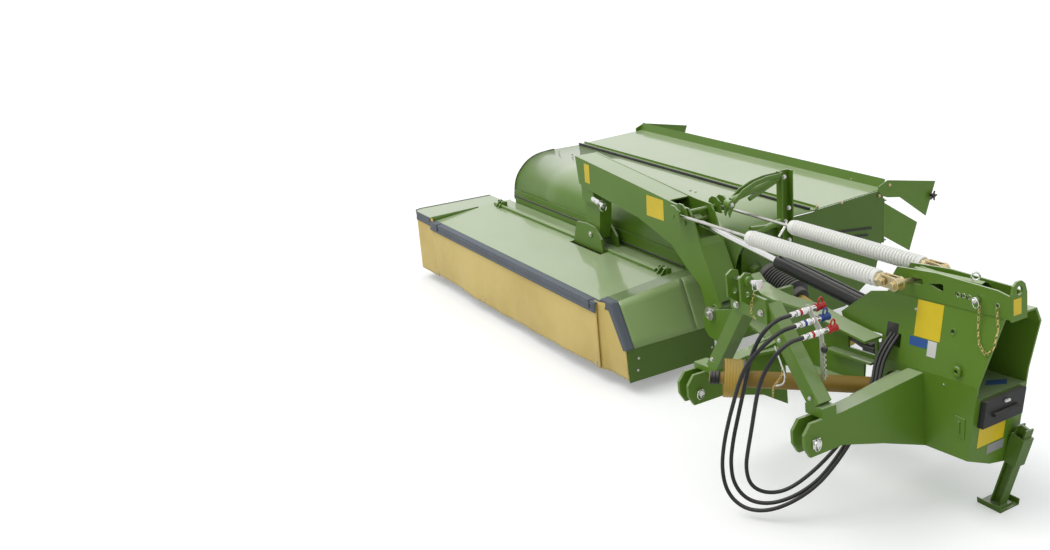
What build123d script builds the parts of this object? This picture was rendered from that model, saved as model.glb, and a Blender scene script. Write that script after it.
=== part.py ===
"""Rear mounted disc mower with a tine conditioner, lowered and parked on its stand.

+X is the machine's left, +Y points to the rear (the tractor is at -Y), +Z is up. Sizes are in mm.
The pieces are laid out from the hitch: X = 0 midway between the lower link pins, Y = 0 on the axis
of those pins and Z = 0 on the ground. The last lines move all of them together, so that the
exported origin is at the bottom centre of the machine's bounding box.
"""
from build123d import *
from math import atan2, cos, pi, radians, sin, sqrt, tan
import os

os.makedirs("parts", exist_ok=True)

# ---- driving dimensions --------------------------------------------------------------------
PIN_Z = 511             # height of the lower link pins
HEADSTOCK_ROLL = 3.9    # the parked headstock leans by this much, left side up
CLEVIS_X = 438          # middle of each clevis, from the centre line
CLEVIS_GAP = 60         # free width between the ears of a clevis
EAR = 18                # plate thickness of the ears
LOWER_PIN_R = 14        # hitch category 2
UPPER_PIN_R = 12.7
UPPER_PIN = (20, 1160)  # its Y and Z
UPPER_GAP = 86          # free width between the upper link ears
SEAT = 0.3              # running clearance of pins and seated pieces

HOUSING_X = 200
HOUSING_Y = (672, 1020)
HOUSING_Z = (283, 658, 980)     # bottom, bend of the front and top
HOUSING_RIGHT = (743, 812, 904) # its right edge at those heights
SLOPE_TOP_Y = 745
HOUSING_WALL = 10
SHELF_Z = 590           # floor of the open compartment
BEAM_Y = (560, 672)     # cross beam from the housing out to the boom pivot
BEAM_WEB_Y = (640, 652)

PIVOT = (-1200, 512)    # boom pivot, X and Z
PIVOT_R = 30
LUG = 20
LUG_GAP = 6
BOOM_Y = (700, 872)     # outer faces of the two boom plates
BOOM_PLATE = 12
SPRING_Y = (650, 950)   # front and rear relief spring
SPRING_EYE = (-1470, 1060)
TRUNNION = (322, 1082)
COIL_R = 44
COIL_WIRE = 13
COIL = (130, 1097)      # where the coil begins and ends, from the trunnion
SPRING_ROD_R = 9
BRACKET_Y = (740, 830)  # front faces of the two spring bracket plates
BRACKET_PLATE = 10
SLOT = 68               # travel of the trunnion
CYLINDER_Y = 786
CYLINDER_EYE = (-1470, 1000)
CYLINDER_BASE = (140, 830)
BARREL_R = 40
BARREL_LENGTH = 850
LIFT_ROD_R = 20
EYE_R = 15

MOWER_PIN = (-2640, 680)
HANGER_Y = (741, 832)
MOWER_X = (-4170, -1270)    # outer and inner wall of the conditioner channel
WALL = 5
SHEET = 4
TUBE_Y = (781, 901)         # main tube of the mower
TUBE_Z = (470, 590)
TUBE_X = (-4240, -1680)
DECK_X = (-4287, -1776)     # front guard
DECK_FRONT = (232, 519)     # Y and Z of its front edge
DECK_REAR = (764, 574)
GUARD_HINGE = (776, 612)
OUTER_GUARD_X = (-4630, -4300)
OUTER_HINGE = (-4285, 563)  # X and Z
SKIRT_Z = 90                # hem of the curtains above the ground
CURTAIN = 4

DISC_COUNT = 7
DISC_PITCH = 420
DISC_X0 = -1795
DISC_Y = 560
BLADE_REACH = 248
BAR_Y = (430, 750)
BAR_Z = (30, 78)
ROTOR_Y, ROTOR_Z, ROTOR_TUBE_R, TINE_REACH = 1240, 430, 80, 280
ROTOR_X = (-4080, -1640)
TINE_ROWS = 10

SHAFT_Y = 1050              # intermediate shaft
SHAFT_OUT = (-250, 480)     # its joint at the headstock, X and Z
SHAFT_IN = (-1130, 670)     # its joint at the mower

STAND_FOOT = (722, 940, 0)
STAND_TOP = (822, 985, 420)
STAND_LEG = 56
HOSE_D = 19

nodes = {}


def keep(build, label, rolled=False):
    """Name a finished piece. Headstock pieces are drawn level and then lean with the headstock."""
    piece = build.part
    if rolled:
        piece = piece.rotate(Axis((0, 0, PIN_Z), (0, 1, 0)), -HEADSTOCK_ROLL)
    piece.label = label
    nodes[label] = piece


def level(x, z):
    """The X and Z, on the level headstock, of a point given on the ground."""
    a = radians(HEADSTOCK_ROLL)
    return (x * cos(a) + (z - PIN_Z) * sin(a), PIN_Z - x * sin(a) + (z - PIN_Z) * cos(a))


def plate_x(points, x_low, x_high, mode=Mode.ADD):
    """Outline in Y and Z, as thick as from x_low to x_high."""
    with BuildSketch(Plane.YZ.offset(x_low)) as face:
        with BuildLine():
            Polyline(*points, close=True)
        make_face()
    extrude(face.sketch, amount=x_high - x_low, mode=mode)


def plate_y(points, y_low, y_high, mode=Mode.ADD):
    """Outline in X and Z, as thick as from y_low to y_high."""
    with BuildSketch(Plane.XZ.offset(-y_high)) as face:
        with BuildLine():
            Polyline(*points, close=True)
        make_face()
    extrude(face.sketch, amount=y_high - y_low, mode=mode)


def plate_z(points, z_low, z_high, mode=Mode.ADD):
    """Outline in X and Y, as thick as from z_low to z_high."""
    with BuildSketch(Plane.XY.offset(z_low)) as face:
        with BuildLine():
            Polyline(*points, close=True)
        make_face()
    extrude(face.sketch, amount=z_high - z_low, mode=mode)


def block(x, y, z, mode=Mode.ADD):
    """Box between pairs of X, Y and Z."""
    with BuildSketch(Plane.XY.offset(z[0])) as face:
        with Locations(((x[0] + x[1]) / 2, (y[0] + y[1]) / 2)):
            Rectangle(x[1] - x[0], y[1] - y[0])
    extrude(face.sketch, amount=z[1] - z[0], mode=mode)


def bar(start, end, radius, mode=Mode.ADD, hole=0, sides=0):
    """Bar from one point to another: round, or with so many sides, and hollow where it has a hole."""
    way = Vector(*end) - Vector(*start)
    with BuildSketch(Plane(origin=start, z_dir=way)) as face:
        if sides:
            RegularPolygon(radius, sides, major_radius=mode != Mode.SUBTRACT)
        else:
            Circle(radius)
        if hole:
            Circle(hole, mode=Mode.SUBTRACT)
    extrude(face.sketch, amount=way.length, mode=mode)


def bar_y(x, z, y_low, y_high, radius, mode=Mode.ADD, hole=0, sides=0):
    """Bar along Y."""
    bar((x, y_low, z), (x, y_high, z), radius, mode, hole, sides)


def strip(points, thickness):
    """Closed outline of a bent sheet: its outer line and the same line moved down."""
    return points + [(a, b - thickness) for a, b in reversed(points)]


# ---- headstock: lower hitch ----------------------------------------------------------------
ARM_TOP = [(672, 648), (389, 624), (150, 606), (-20, 606), (-59, 560)]
ARM_BOTTOM = [(-59, 500), (-30, 450), (158, 451), (402, 380), (672, 283)]
ARM_SIDES = [  # side, label, rear end, bottom there
    (1, "hitch_arm_left", HOUSING_Y[0], 290),
    (-1, "hitch_arm_right", BEAM_Y[0], 345),
]
for side, label, rear, rear_bottom in ARM_SIDES:
    outer = side * (CLEVIS_X + CLEVIS_GAP / 2 + EAR)
    inner = side * (CLEVIS_X - CLEVIS_GAP / 2 - EAR)
    outline = [(min(y, rear), z) for y, z in ARM_TOP + ARM_BOTTOM]
    with BuildPart() as arm:
        plate_x(outline, *sorted((outer, outer - side * EAR)))
        plate_x(outline, *sorted((inner, inner + side * EAR)))
        web = sorted((outer - side * EAR, inner + side * EAR))
        plate_x(strip([(110, 606), (150, 606), (389, 624), (rear, 624 + (rear - 389) * 0.085)], 16), *web)
        plate_x([(110, 455), (158, 451), (402, 380), (rear, rear_bottom),
                 (rear, rear_bottom + 16), (402, 396), (158, 467), (110, 471)], *web)
        gusset = [(inner, 300), (inner - side * 74, rear), (inner, rear)]
        plate_z(gusset, 606, 620)
        bar((min(outer, inner) - 5, 0, PIN_Z), (max(outer, inner) + 5, 0, PIN_Z), LOWER_PIN_R + SEAT,
            Mode.SUBTRACT)
    keep(arm, label, rolled=True)

with BuildPart() as pins:
    half = CLEVIS_GAP / 2 + EAR
    for side in (1, -1):
        bar((side * CLEVIS_X - half - 22, 0, PIN_Z), (side * CLEVIS_X + half + 24, 0, PIN_Z), LOWER_PIN_R)
        head = side * (CLEVIS_X + half + SEAT)
        block(sorted((head, head + side * 10)), (-22, 22), (PIN_Z - 22, PIN_Z + 22))
keep(pins, "lower_link_pins", rolled=True)

# ---- headstock: mast -----------------------------------------------------------------------
with BuildPart() as leg:
    foot = Vector(431, 90, 645)
    head = Vector(118, 90, 1040)
    with BuildSketch(Plane(origin=foot, x_dir=(0, 1, 0), z_dir=head - foot)) as tube:
        RectangleRounded(80, 80, 8)
    extrude(tube.sketch, amount=(head - foot).length)
    block((370, 486), (50, 130), (606, 652))
keep(leg, "mast_leg_left", rolled=True)

with BuildPart() as leg:
    block((-486, -300), (50, 130), (606, 636))
    foot = Vector(-345, 90, 630)
    head = Vector(-75, 90, 990)
    with BuildSketch(Plane(origin=foot, x_dir=(0, 1, 0), z_dir=head - foot)) as tube:
        Rectangle(80, 70)
        with Locations((0, 8)):
            Rectangle(64, 70, mode=Mode.SUBTRACT)
    extrude(tube.sketch, amount=(head - foot).length)
keep(leg, "mast_leg_right", rolled=True)

with BuildPart() as head:
    plate_y([(-110, 1000), (-39, 990), (158, 969), (154, 1087), (60, 1096), (-62, 1096), (-110, 1060)],
            34.8, 49.7)
    for side in (1, -1):
        x = sorted((side * UPPER_GAP / 2, side * (UPPER_GAP / 2 + 12)))
        plate_x([(-24, 1182), (8, 1202), (42, 1192), (50, 1139), (116, 1048), (116, 1000), (34, 1000),
                 (34, 1039), (-24, 1077)], *x)
        for y, z, r, sides in ((*UPPER_PIN, UPPER_PIN_R + SEAT, 0), (15, 1100, 13, 10)):
            bar((x[0] - 2, y, z), (x[1] + 2, y, z), r, Mode.SUBTRACT, sides=sides)
    bar((UPPER_GAP / 2 + 12, *UPPER_PIN), (UPPER_GAP / 2 + 30, *UPPER_PIN), 24, hole=UPPER_PIN_R + SEAT)
keep(head, "mast_head", rolled=True)

with BuildPart() as pin:
    bar((-84, *UPPER_PIN), (136, *UPPER_PIN), UPPER_PIN_R)
    block((136, 146), (UPPER_PIN[0] - 14, UPPER_PIN[0] + 14), (UPPER_PIN[1] - 20, UPPER_PIN[1] + 20))
keep(pin, "upper_link_pin", rolled=True)

# ---- headstock: cross beam with the boom pivot -----------------------------------------------
pivot_x, pivot_z = level(*PIVOT)
BEAM_TOP = [(222, 770), (0, 803), (-213, 845), (-454, 846), (-570, 862), (-648, 883), (-704, 930)]
BEAM_LOW = [(-722, 900), (-722, 668), (-560, 610), (-400, 500), (112, 500), (130, 640), (222, 640)]
LUG_OUTLINE = [(-704, 800), (-860, 708), (-940, 665), (-1060, 640), (-1150, 622), (-1240, 610), (-1282, 560),
               (-1280, 480), (-1240, 440), (-1160, 425), (-1090, 455), (-1010, 520), (-900, 600), (-722, 668)]
with BuildPart() as beam:
    plate_y(BEAM_TOP + BEAM_LOW, *BEAM_WEB_Y)
    plate_y(strip(BEAM_TOP, 12), *BEAM_Y)
    block((-100, 222), (590, BEAM_Y[1]), (640, 652))
    plate_y(strip([(112, 512), (-400, 512), (-560, 622), (-722, 680)], 12), *BEAM_Y)
    block((-734, -722), (BEAM_Y[0], BEAM_Y[1]), (668, 905))
    block((16, 204), (BEAM_WEB_Y[0] - 5, BEAM_WEB_Y[1] + 5), (674, 743), Mode.SUBTRACT)
    for y in (BOOM_Y[0] - LUG_GAP - LUG, BOOM_Y[1] + LUG_GAP):
        plate_y(LUG_OUTLINE, y, y + LUG)
    block((-734, -700), (BEAM_Y[1], BOOM_Y[1] + LUG_GAP + LUG), (668, 800))
    block((-722, -600), (BEAM_Y[1], BOOM_Y[0] - LUG_GAP), (680, 800))
    bar_y(pivot_x, pivot_z, 600, 1000, PIVOT_R + SEAT, Mode.SUBTRACT)
keep(beam, "cross_beam", rolled=True)

with BuildPart() as pin:
    front = BOOM_Y[0] - LUG_GAP - LUG
    bar_y(pivot_x, pivot_z, front - 18, BOOM_Y[1] + LUG_GAP + LUG + 14, PIVOT_R)
    bar_y(pivot_x, pivot_z, front - 16, front - SEAT, PIVOT_R + 12, sides=12)
keep(pin, "boom_pivot_pin", rolled=True)

# ---- headstock: housing ----------------------------------------------------------------------
slope = atan2(SLOPE_TOP_Y - HOUSING_Y[0], HOUSING_Z[2] - HOUSING_Z[1])
slope_plane = Plane(origin=(0, HOUSING_Y[0], HOUSING_Z[1]), x_dir=(1, 0, 0),
                    z_dir=(0, -cos(slope), sin(slope)))
BELLY = [(HOUSING_Y[1], 223), (950, 190), (837, 213)]
right_edge = list(zip(HOUSING_RIGHT, HOUSING_Z))
with BuildPart() as housing:
    t = HOUSING_WALL
    plate_x([(HOUSING_Y[0], HOUSING_Z[0]), (HOUSING_Y[0], HOUSING_Z[1]), (SLOPE_TOP_Y, HOUSING_Z[2]),
             (960, HOUSING_Z[2]), (HOUSING_Y[1], 900)] + BELLY, HOUSING_X, 950)
    with BuildSketch(slope_plane) as tip:
        with BuildLine():
            Polyline((-100, 166), (90, 305), (HOUSING_X + 5, 326), (HOUSING_X + 5, 112), (-65, 112),
                     close=True)
        make_face()
    extrude(tip.sketch, amount=-t)
    plate_x([(HOUSING_Y[0] + t, HOUSING_Z[0] + t), (HOUSING_Y[0] + t, SHELF_Z - t),
             (HOUSING_Y[1] - t, SHELF_Z - t), (HOUSING_Y[1] - t, 223 + t), (950, 190 + t), (837, 213 + t)],
            HOUSING_X + t, 950, Mode.SUBTRACT)
    plate_x([(HOUSING_Y[0] + t, SHELF_Z), (HOUSING_Y[0] + t, HOUSING_Z[1]),
             (SLOPE_TOP_Y + t, HOUSING_Z[2] - t), (955, HOUSING_Z[2] - t), (HOUSING_Y[1] - t, 895),
             (HOUSING_Y[1] - t, SHELF_Z)], HOUSING_X + t, 950, Mode.SUBTRACT)
    side_wall = [(HOUSING_RIGHT[0] - 17, 190), (HOUSING_RIGHT[0] + 56, SHELF_Z)]
    plate_y(side_wall + [(x - t, z) for x, z in reversed(side_wall)], HOUSING_Y[0] + t, HOUSING_Y[1] - t)
    plate_y([(HOUSING_RIGHT[0] - 17, 190)] + right_edge + [(960, 1010), (960, 180)], 600, 1100, Mode.SUBTRACT)
    plate_x([(837, 213), (950, 190), (HOUSING_Y[1], 223), (HOUSING_Y[1], 150), (600, 150),
             (600, 283), (HOUSING_Y[0], 283)], 600, 950, Mode.SUBTRACT)
    bar((302, HOUSING_Y[0] - 15, 530), (302, HOUSING_Y[0] + 20, 530), 78, Mode.SUBTRACT)
    bar((HOUSING_X - 10, SHAFT_Y, 497), (342, SHAFT_Y, 497), 64, Mode.SUBTRACT)
    block((328, 562), (HOUSING_Y[1] - 20, HOUSING_Y[1] + 5), (408, 592 - t), Mode.SUBTRACT)
    with BuildSketch(slope_plane) as hose_hole:
        with Locations((280, 104)):
            Rectangle(88, 66)
    extrude(hose_hole.sketch, amount=-30, both=True, mode=Mode.SUBTRACT)
keep(housing, "gear_housing", rolled=True)

with BuildPart() as box_piece:
    face_x = [(HOUSING_RIGHT[0] + (z - HOUSING_Z[0]) * 0.184 + SEAT, z) for z in (448, 582)]
    plate_y(face_x + [(x + 34, z) for x, z in reversed(face_x)], 706, 976)
    plate_y([(face_x[0][0] + 24, 492), (face_x[0][0] + 62, 500), (face_x[0][0] + 62, 512),
             (face_x[0][0] + 30, 512)], 760, 930)
keep(box_piece, "document_box", rolled=True)

base_x, base_z = level(*CYLINDER_BASE)
PTO_END = Vector(-190, -60, 660)
PTO_IN = Vector(405, 790, 515)
pto_length = (PTO_IN - PTO_END).length


def on_pto(distance):
    """Point on the axis of the power take-off shaft, at a distance from its tractor end."""
    return tuple(PTO_END + (PTO_IN - PTO_END) * (distance / pto_length))


with BuildPart() as gearbox:
    block((330, 560), (900, 1115), (410, 580))
    block((312, 578), (HOUSING_Y[1], HOUSING_Y[1] + 12), (392, 598))
    bar((HOUSING_X - 280, SHAFT_Y, 497), (340, SHAFT_Y, 497), 60, sides=20)
    out_x, out_z = level(*SHAFT_OUT)
    bar((out_x + 60, SHAFT_Y, out_z), (HOUSING_X - 270, SHAFT_Y, out_z), 48, sides=16)
    for y in (SHAFT_Y - 50, SHAFT_Y + 38):
        plate_y([(out_x + 64, out_z - 22), (out_x + 64, out_z + 22), (out_x - 20, out_z + 22),
                 (out_x - 20, out_z - 22)], y, y + 12)
    bar_y(out_x, out_z, SHAFT_Y - 60, SHAFT_Y + 60, 12 + SEAT, Mode.SUBTRACT)
    bar(on_pto(pto_length - 40 + SEAT), on_pto(pto_length + 160), 34, sides=16)
keep(gearbox, "headstock_gearbox", rolled=True)

# ---- headstock: spring bracket ---------------------------------------------------------------
trunnion_x, trunnion_z = level(*TRUNNION)
BRACKET = [(240, HOUSING_Z[2]), (222, 1039), (273, 1108), (518, 1118), (870, 1100), (936, 1085),
           (936, HOUSING_Z[2]), (904, HOUSING_Z[2])]
with BuildPart() as bracket:
    for y in BRACKET_Y:
        plate_y(BRACKET, y, y + BRACKET_PLATE)
    ends = (BRACKET_Y[0] - 5, BRACKET_Y[1] + BRACKET_PLATE + 5)
    with BuildSketch(Plane.XZ.offset(-ends[1])) as slot:
        with Locations((trunnion_x + SLOT / 2 - 6, trunnion_z)):
            SlotCenterToCenter(SLOT, 2 * (14 + SEAT))
    extrude(slot.sketch, amount=ends[1] - ends[0], mode=Mode.SUBTRACT)
    plate_y([(470, trunnion_z), (545, trunnion_z - 22), (560, trunnion_z - 14), (560, trunnion_z + 8),
             (550, trunnion_z + 14)], *ends, Mode.SUBTRACT)
    for x, z in ((641, 1041), (670, 1038), (700, 1036), (755, 1035), (864, 1030)):
        bar_y(x, z, *ends, 9, Mode.SUBTRACT, sides=10)
    plate_x(strip([(BRACKET_Y[0] + BRACKET_PLATE, 1080), (770, 1104), (790, 1110), (810, 1104),
                   (BRACKET_Y[1], 1080)], 5), 345, 760)
    plate_x([(BRACKET_Y[0], HOUSING_Z[2] - 8), (BRACKET_Y[0], 1090), (752, 1128), (775, 1146), (805, 1146),
             (828, 1128), (BRACKET_Y[1] + BRACKET_PLATE, 1090), (BRACKET_Y[1] + BRACKET_PLATE,
                                                                 HOUSING_Z[2] - 8)], 936, 948)
    bar((930, 790, 1104), (960, 790, 1104), 20, Mode.SUBTRACT)
keep(bracket, "spring_bracket", rolled=True)

# ---- boom -------------------------------------------------------------------------------------
BOOM_OUTLINE = [(-2750, 1210), (-2720, 1024), (-2630, 1004), (-1990, 930), (-1630, 835), (-1450, 706),
                (-1340, 640), (-1270, 470), (-1225, 440), (-1160, 445), (-1130, 500), (-1140, 560),
                (-1190, 660), (-1320, 890), (-1400, 1060), (-1430, 1095), (-1580, 1100), (-2100, 1150)]
with BuildPart() as boom:
    for y in (BOOM_Y[0], BOOM_Y[1] - BOOM_PLATE):
        plate_y(BOOM_OUTLINE, y, y + BOOM_PLATE)
    inside = (BOOM_Y[0] + BOOM_PLATE, BOOM_Y[1] - BOOM_PLATE)
    plate_y(strip([(-2750, 1208), (-2100, 1148), (-1650, 1103)], 8), *inside)
    plate_y(strip([(-2638, 1014), (-1990, 940), (-1630, 845)], 9), *inside)
    plate_y([(-1345, 925), (-1320, 888), (-1190, 658), (-1150, 585), (-1158, 581), (-1198, 654), (-1328, 884),
             (-1353, 921)], *inside)
    bar_y(*PIVOT, BOOM_Y[0] - LUG_GAP + SEAT, BOOM_Y[1] + LUG_GAP - SEAT, PIVOT_R + 18)
    bar_y(*PIVOT, BOOM_Y[0] - 9, BOOM_Y[1] + 9, PIVOT_R + SEAT, Mode.SUBTRACT)
    for x, z in (SPRING_EYE, CYLINDER_EYE):
        bar_y(x, z, BOOM_Y[0] - 5, BOOM_Y[1] + 5, EYE_R + SEAT, Mode.SUBTRACT, sides=12)
keep(boom, "boom_arm")

with BuildPart() as ears:
    for y in (SPRING_Y[0] - 32, SPRING_Y[0] + 22, SPRING_Y[1] - 32, SPRING_Y[1] + 22):
        plate_y([(-1540, 1030), (-1400, 1030), (-1420, 1100), (-1450, 1120), (-1490, 1120), (-1520, 1100)],
                y, y + 10)
    bar_y(*SPRING_EYE, SPRING_Y[0] - 36, SPRING_Y[1] + 36, EYE_R, sides=12)
    for y in SPRING_Y:
        bar_y(*SPRING_EYE, y - 14, y + 14, 26, sides=8)
    bar_y(*CYLINDER_EYE, CYLINDER_Y - 25, CYLINDER_Y + 25, 34, sides=12)
    bar_y(*CYLINDER_EYE, BOOM_Y[0] - 8, BOOM_Y[1] + 8, EYE_R, sides=12)
keep(ears, "boom_ears")

with BuildPart() as link:
    plate_y([(-2712, 1060), (-2712, 905), (-2546, 905), (-2560, 985), (-2642, 1000), (-2642, 1060)], *inside)
    plate_y([(-2735, 905), (-2728, 760), (-2702, 650), (-2640, 622), (-2580, 650), (-2548, 760),
             (-2530, 905)], *HANGER_Y)
    bar_y(*MOWER_PIN, HANGER_Y[0] - 5, HANGER_Y[1] + 5, 20 + SEAT, Mode.SUBTRACT)
keep(link, "hanger")

# ---- relief springs ---------------------------------------------------------------------------
with BuildPart() as trunnion:
    bar_y(*TRUNNION, SPRING_Y[0] - 40, SPRING_Y[1] + 40, 14)
keep(trunnion, "spring_trunnion")

eye, end = Vector(*SPRING_EYE), Vector(*TRUNNION)
span = (end - eye).length
along = (eye - end).normalized()


def on_spring(distance, y):
    """Point on a relief spring's axis, at a distance from the trunnion."""
    return (end.X + along.X * distance, y, end.Y + along.Y * distance)


with BuildPart() as coils:
    for y in SPRING_Y:
        bar(on_spring(COIL[0], y), on_spring(COIL[1], y), COIL_R, hole=COIL_R - COIL_WIRE)
        bar(on_spring(26, y), on_spring(COIL[0], y), 18, sides=8)
        bar(on_spring(COIL[0] - 12, y), on_spring(COIL[0], y), COIL_R)
        bar(on_spring(COIL[1], y), on_spring(COIL[1] + 12, y), COIL_R, hole=SPRING_ROD_R + SEAT)
        bar_y(*TRUNNION, y - 22, y + 22, 28, sides=8)
        bar_y(*TRUNNION, y - 30, y + 30, 14 + SEAT, Mode.SUBTRACT)
keep(coils, "spring_coils")

with BuildPart() as rods:
    for y in SPRING_Y:
        bar(on_spring(COIL[1] - 160, y), on_spring(span - 38, y), SPRING_ROD_R)
keep(rods, "spring_rods")

# ---- lift cylinder ----------------------------------------------------------------------------
eye, end = Vector(*CYLINDER_EYE), Vector(*CYLINDER_BASE)
lift_span = (end - eye).length
lift_along = (eye - end).normalized()


def on_lift(distance):
    """Point on the lift cylinder's axis, at a distance from its base pin."""
    return (end.X + lift_along.X * distance, CYLINDER_Y, end.Y + lift_along.Y * distance)


with BuildPart() as barrel:
    bar(on_lift(26), on_lift(BARREL_LENGTH), BARREL_R)
    bar(on_lift(45), on_lift(BARREL_LENGTH + 5), LIFT_ROD_R + SEAT, Mode.SUBTRACT)
    bar_y(*CYLINDER_BASE, CYLINDER_Y - 25, CYLINDER_Y + 25, 34, sides=12)
    bar_y(*CYLINDER_BASE, CYLINDER_Y - 60, CYLINDER_Y + 60, EYE_R + SEAT, Mode.SUBTRACT)
keep(barrel, "lift_barrel")

with BuildPart() as rod:
    bar(on_lift(BARREL_LENGTH - 130), on_lift(lift_span - 44), LIFT_ROD_R)
keep(rod, "lift_rod")

with BuildPart() as base_pin:
    x, z = level(*CYLINDER_BASE)
    bar_y(x, z, CYLINDER_Y - 56, CYLINDER_Y + 56, EYE_R)
    for y in (CYLINDER_Y - 56, CYLINDER_Y + 44):
        plate_y([(HOUSING_X, z + 42), (HOUSING_X, z - 42), (x - 24, z - 22), (x - 24, z + 22)], y, y + 12)
keep(base_pin, "lift_anchor", rolled=True)

# ---- mower: frame, cutter bar and skids ---------------------------------------------------------
HINGE_X = (-4180, -1880)    # where the front guard's two hinges begin
with BuildPart() as frame:
    with BuildSketch(Plane.YZ.offset(TUBE_X[0])) as tube:
        with Locations(((TUBE_Y[0] + TUBE_Y[1]) / 2, (TUBE_Z[0] + TUBE_Z[1]) / 2)):
            Rectangle(TUBE_Y[1] - TUBE_Y[0], TUBE_Z[1] - TUBE_Z[0])
        fillet(tube.vertices(), 12)
    extrude(tube.sketch, amount=TUBE_X[1] - TUBE_X[0])
    for x in (TUBE_X[0] - 12, TUBE_X[1]):
        plate_x([(781, 590), (901, 590), (960, 420), (960, 60), (900, 30), (750, 30), (750, 78),
                 (825, 80), (825, 300), (790, 420)],
                x, x + 12)
    for y in (720, 842):
        plate_y([(-2890, 590), (-2835, 730), (-2700, 742), (-2590, 735), (-2513, 664), (-2500, 590)], y,
                y + 16)
    block((-2890, -2500), (720, 782), (570, 590))
    bar_y(*MOWER_PIN, 700, 870, 20 + SEAT, Mode.SUBTRACT)
    block((MOWER_X[0] + 20, TUBE_X[1] - 10), (TUBE_Y[1], 905.7), (500, 690))
    for x in HINGE_X:
        for offset in (0, 92):
            plate_x([(781, 560), (781, 590), (792, 590), (792, 626), (760, 626), (760, 600), (775, 575)],
                    x + offset, x + offset + 8)
        bar((x + 8, *GUARD_HINGE), (x + 92, *GUARD_HINGE), 8)
    for y in (772, 850):
        plate_y([(TUBE_X[0] - 12, 550), (-4288, 550), (-4295, 554), (-4298, 563), (-4295, 572), (-4288, 576),
                 (TUBE_X[0] - 12, 576)], y, y + 10)
    bar_y(*OUTER_HINGE, 775, 855, 8)
keep(frame, "mower_frame")

with BuildPart() as pin:
    bar_y(*MOWER_PIN, 712, 866, 20)
keep(pin, "mower_pivot_pin")

disc_x = [DISC_X0 - i * DISC_PITCH for i in range(DISC_COUNT)]
with BuildPart() as cutter_bar:
    block((disc_x[-1] - 130, disc_x[0] + 170), BAR_Y, BAR_Z)
    for x in disc_x:
        plate_z([(x - 140, BAR_Y[0] + 5), (x - 60, BAR_Y[0] - 34), (x + 60, BAR_Y[0] - 34),
                 (x + 140, BAR_Y[0] + 5)], *BAR_Z)
keep(cutter_bar, "cutter_bar")

with BuildPart() as skids:
    for x in disc_x:
        plate_x([(392, 30), (417, 14), (447, 5), (557, 0), (880, 0), (960, 12), (975, 30), (955, 29.7),
                 (430, 29.7)], x - 110, x + 110)
keep(skids, "skids")

for number, x in enumerate(disc_x, 1):
    turn = 0 if number % 2 else 90
    with BuildPart() as disc:
        with BuildSketch(Plane(origin=(x, DISC_Y, 86), x_dir=(cos(radians(turn)), sin(radians(turn)), 0),
                               z_dir=(0, 0, 1))) as plate:
            Polygon(*[(165 * cos(k * pi / 6), 122 * sin(k * pi / 6)) for k in range(12)])
            Rectangle(2 * BLADE_REACH, 46)
        extrude(plate.sketch, amount=6)
        with BuildSketch(Plane.XY.offset(BAR_Z[1] + SEAT)) as hub:
            with Locations((x, DISC_Y)):
                RegularPolygon(78, 16)
        extrude(hub.sketch, amount=52, taper=26)
        bar((x, DISC_Y, BAR_Z[1] + 50), (x, DISC_Y, BAR_Z[1] + 62), 18)
    keep(disc, f"disc_{number}")

# ---- mower: hood, walls and rear ------------------------------------------------------------------
HOOD = [(906, 611), (912, 695), (933, 777), (986, 849), (1067, 911), (1168, 943), (1292, 949), (1575, 951)]
with BuildPart() as hood:
    inner = [(y + (SHEET if z < 900 else 0), z - (0 if z < 800 else SHEET)) for y, z in HOOD]
    plate_x(HOOD + inner[::-1], MOWER_X[0] + WALL, MOWER_X[1] - WALL)
keep(hood, "hood")

with BuildPart() as rear:
    plate_x(strip([(1530, 959), (2100, 986), (2130, 990), (2152, 1048)], 5)[:8], MOWER_X[0] + WALL,
            MOWER_X[1] - WALL)
    plate_x([(1530, 951.3), (1575, 951.3), (1580, 975), (1574, 975), (1570, 955)],
            MOWER_X[0] + WALL, MOWER_X[1] - WALL)
keep(rear, "rear_plate")

WALL_OUTLINE = [(950, 260), (950, 560), (965, 790), (1000, 850), (1060, 900), (1160, 938), (1292, 944),
                (1525, 946), (1584, 955), (2100, 980), (2130, 975), (2130, 660), (2060, 420), (1800, 260)]
for side, x, label in ((-1, MOWER_X[0], "outer_wall"), (1, MOWER_X[1] - WALL, "inner_wall")):
    outside = x if side < 0 else x + WALL
    with BuildPart() as wall:
        plate_x(WALL_OUTLINE, x, x + WALL)
        bar((x - 1, ROTOR_Y, ROTOR_Z), (x + WALL + 1, ROTOR_Y, ROTOR_Z), 25 + SEAT, Mode.SUBTRACT)
        if side > 0:
            bar((x - 1, SHAFT_Y, SHAFT_IN[1]), (x + WALL + 1, SHAFT_Y, SHAFT_IN[1]), 60, Mode.SUBTRACT,
                sides=16)
        for z in (634, 902):
            block(sorted((outside, outside - side * 26)), (2100, 2162), (z, z + 8))
            bar((outside - side * 14, 2145, z - 1), (outside - side * 14, 2145, z + 9), 9 + SEAT,
                Mode.SUBTRACT)
    keep(wall, label)

with BuildPart() as wings:
    for x in (MOWER_X[0] - 6, MOWER_X[1]):
        plate_x([(2085, 975), (2085, 1010), (2165, 1040), (2610, 958), (2525, 733), (2277, 907), (2165, 925),
                 (2125, 940)], x, x + 6)
keep(wings, "wing_plates")

for side, x, label in ((-1, MOWER_X[0], "swath_board_outer"), (1, MOWER_X[1], "swath_board_inner")):
    rod_x = x - side * 14
    with BuildPart() as board:
        plate_x([(2145, 893), (2464, 696), (2394, 511), (2145, 664)], rod_x - 2, rod_x + 2)
        bar((rod_x, 2145, 620), (rod_x, 2145, 920), 9)
    keep(board, label)

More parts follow.
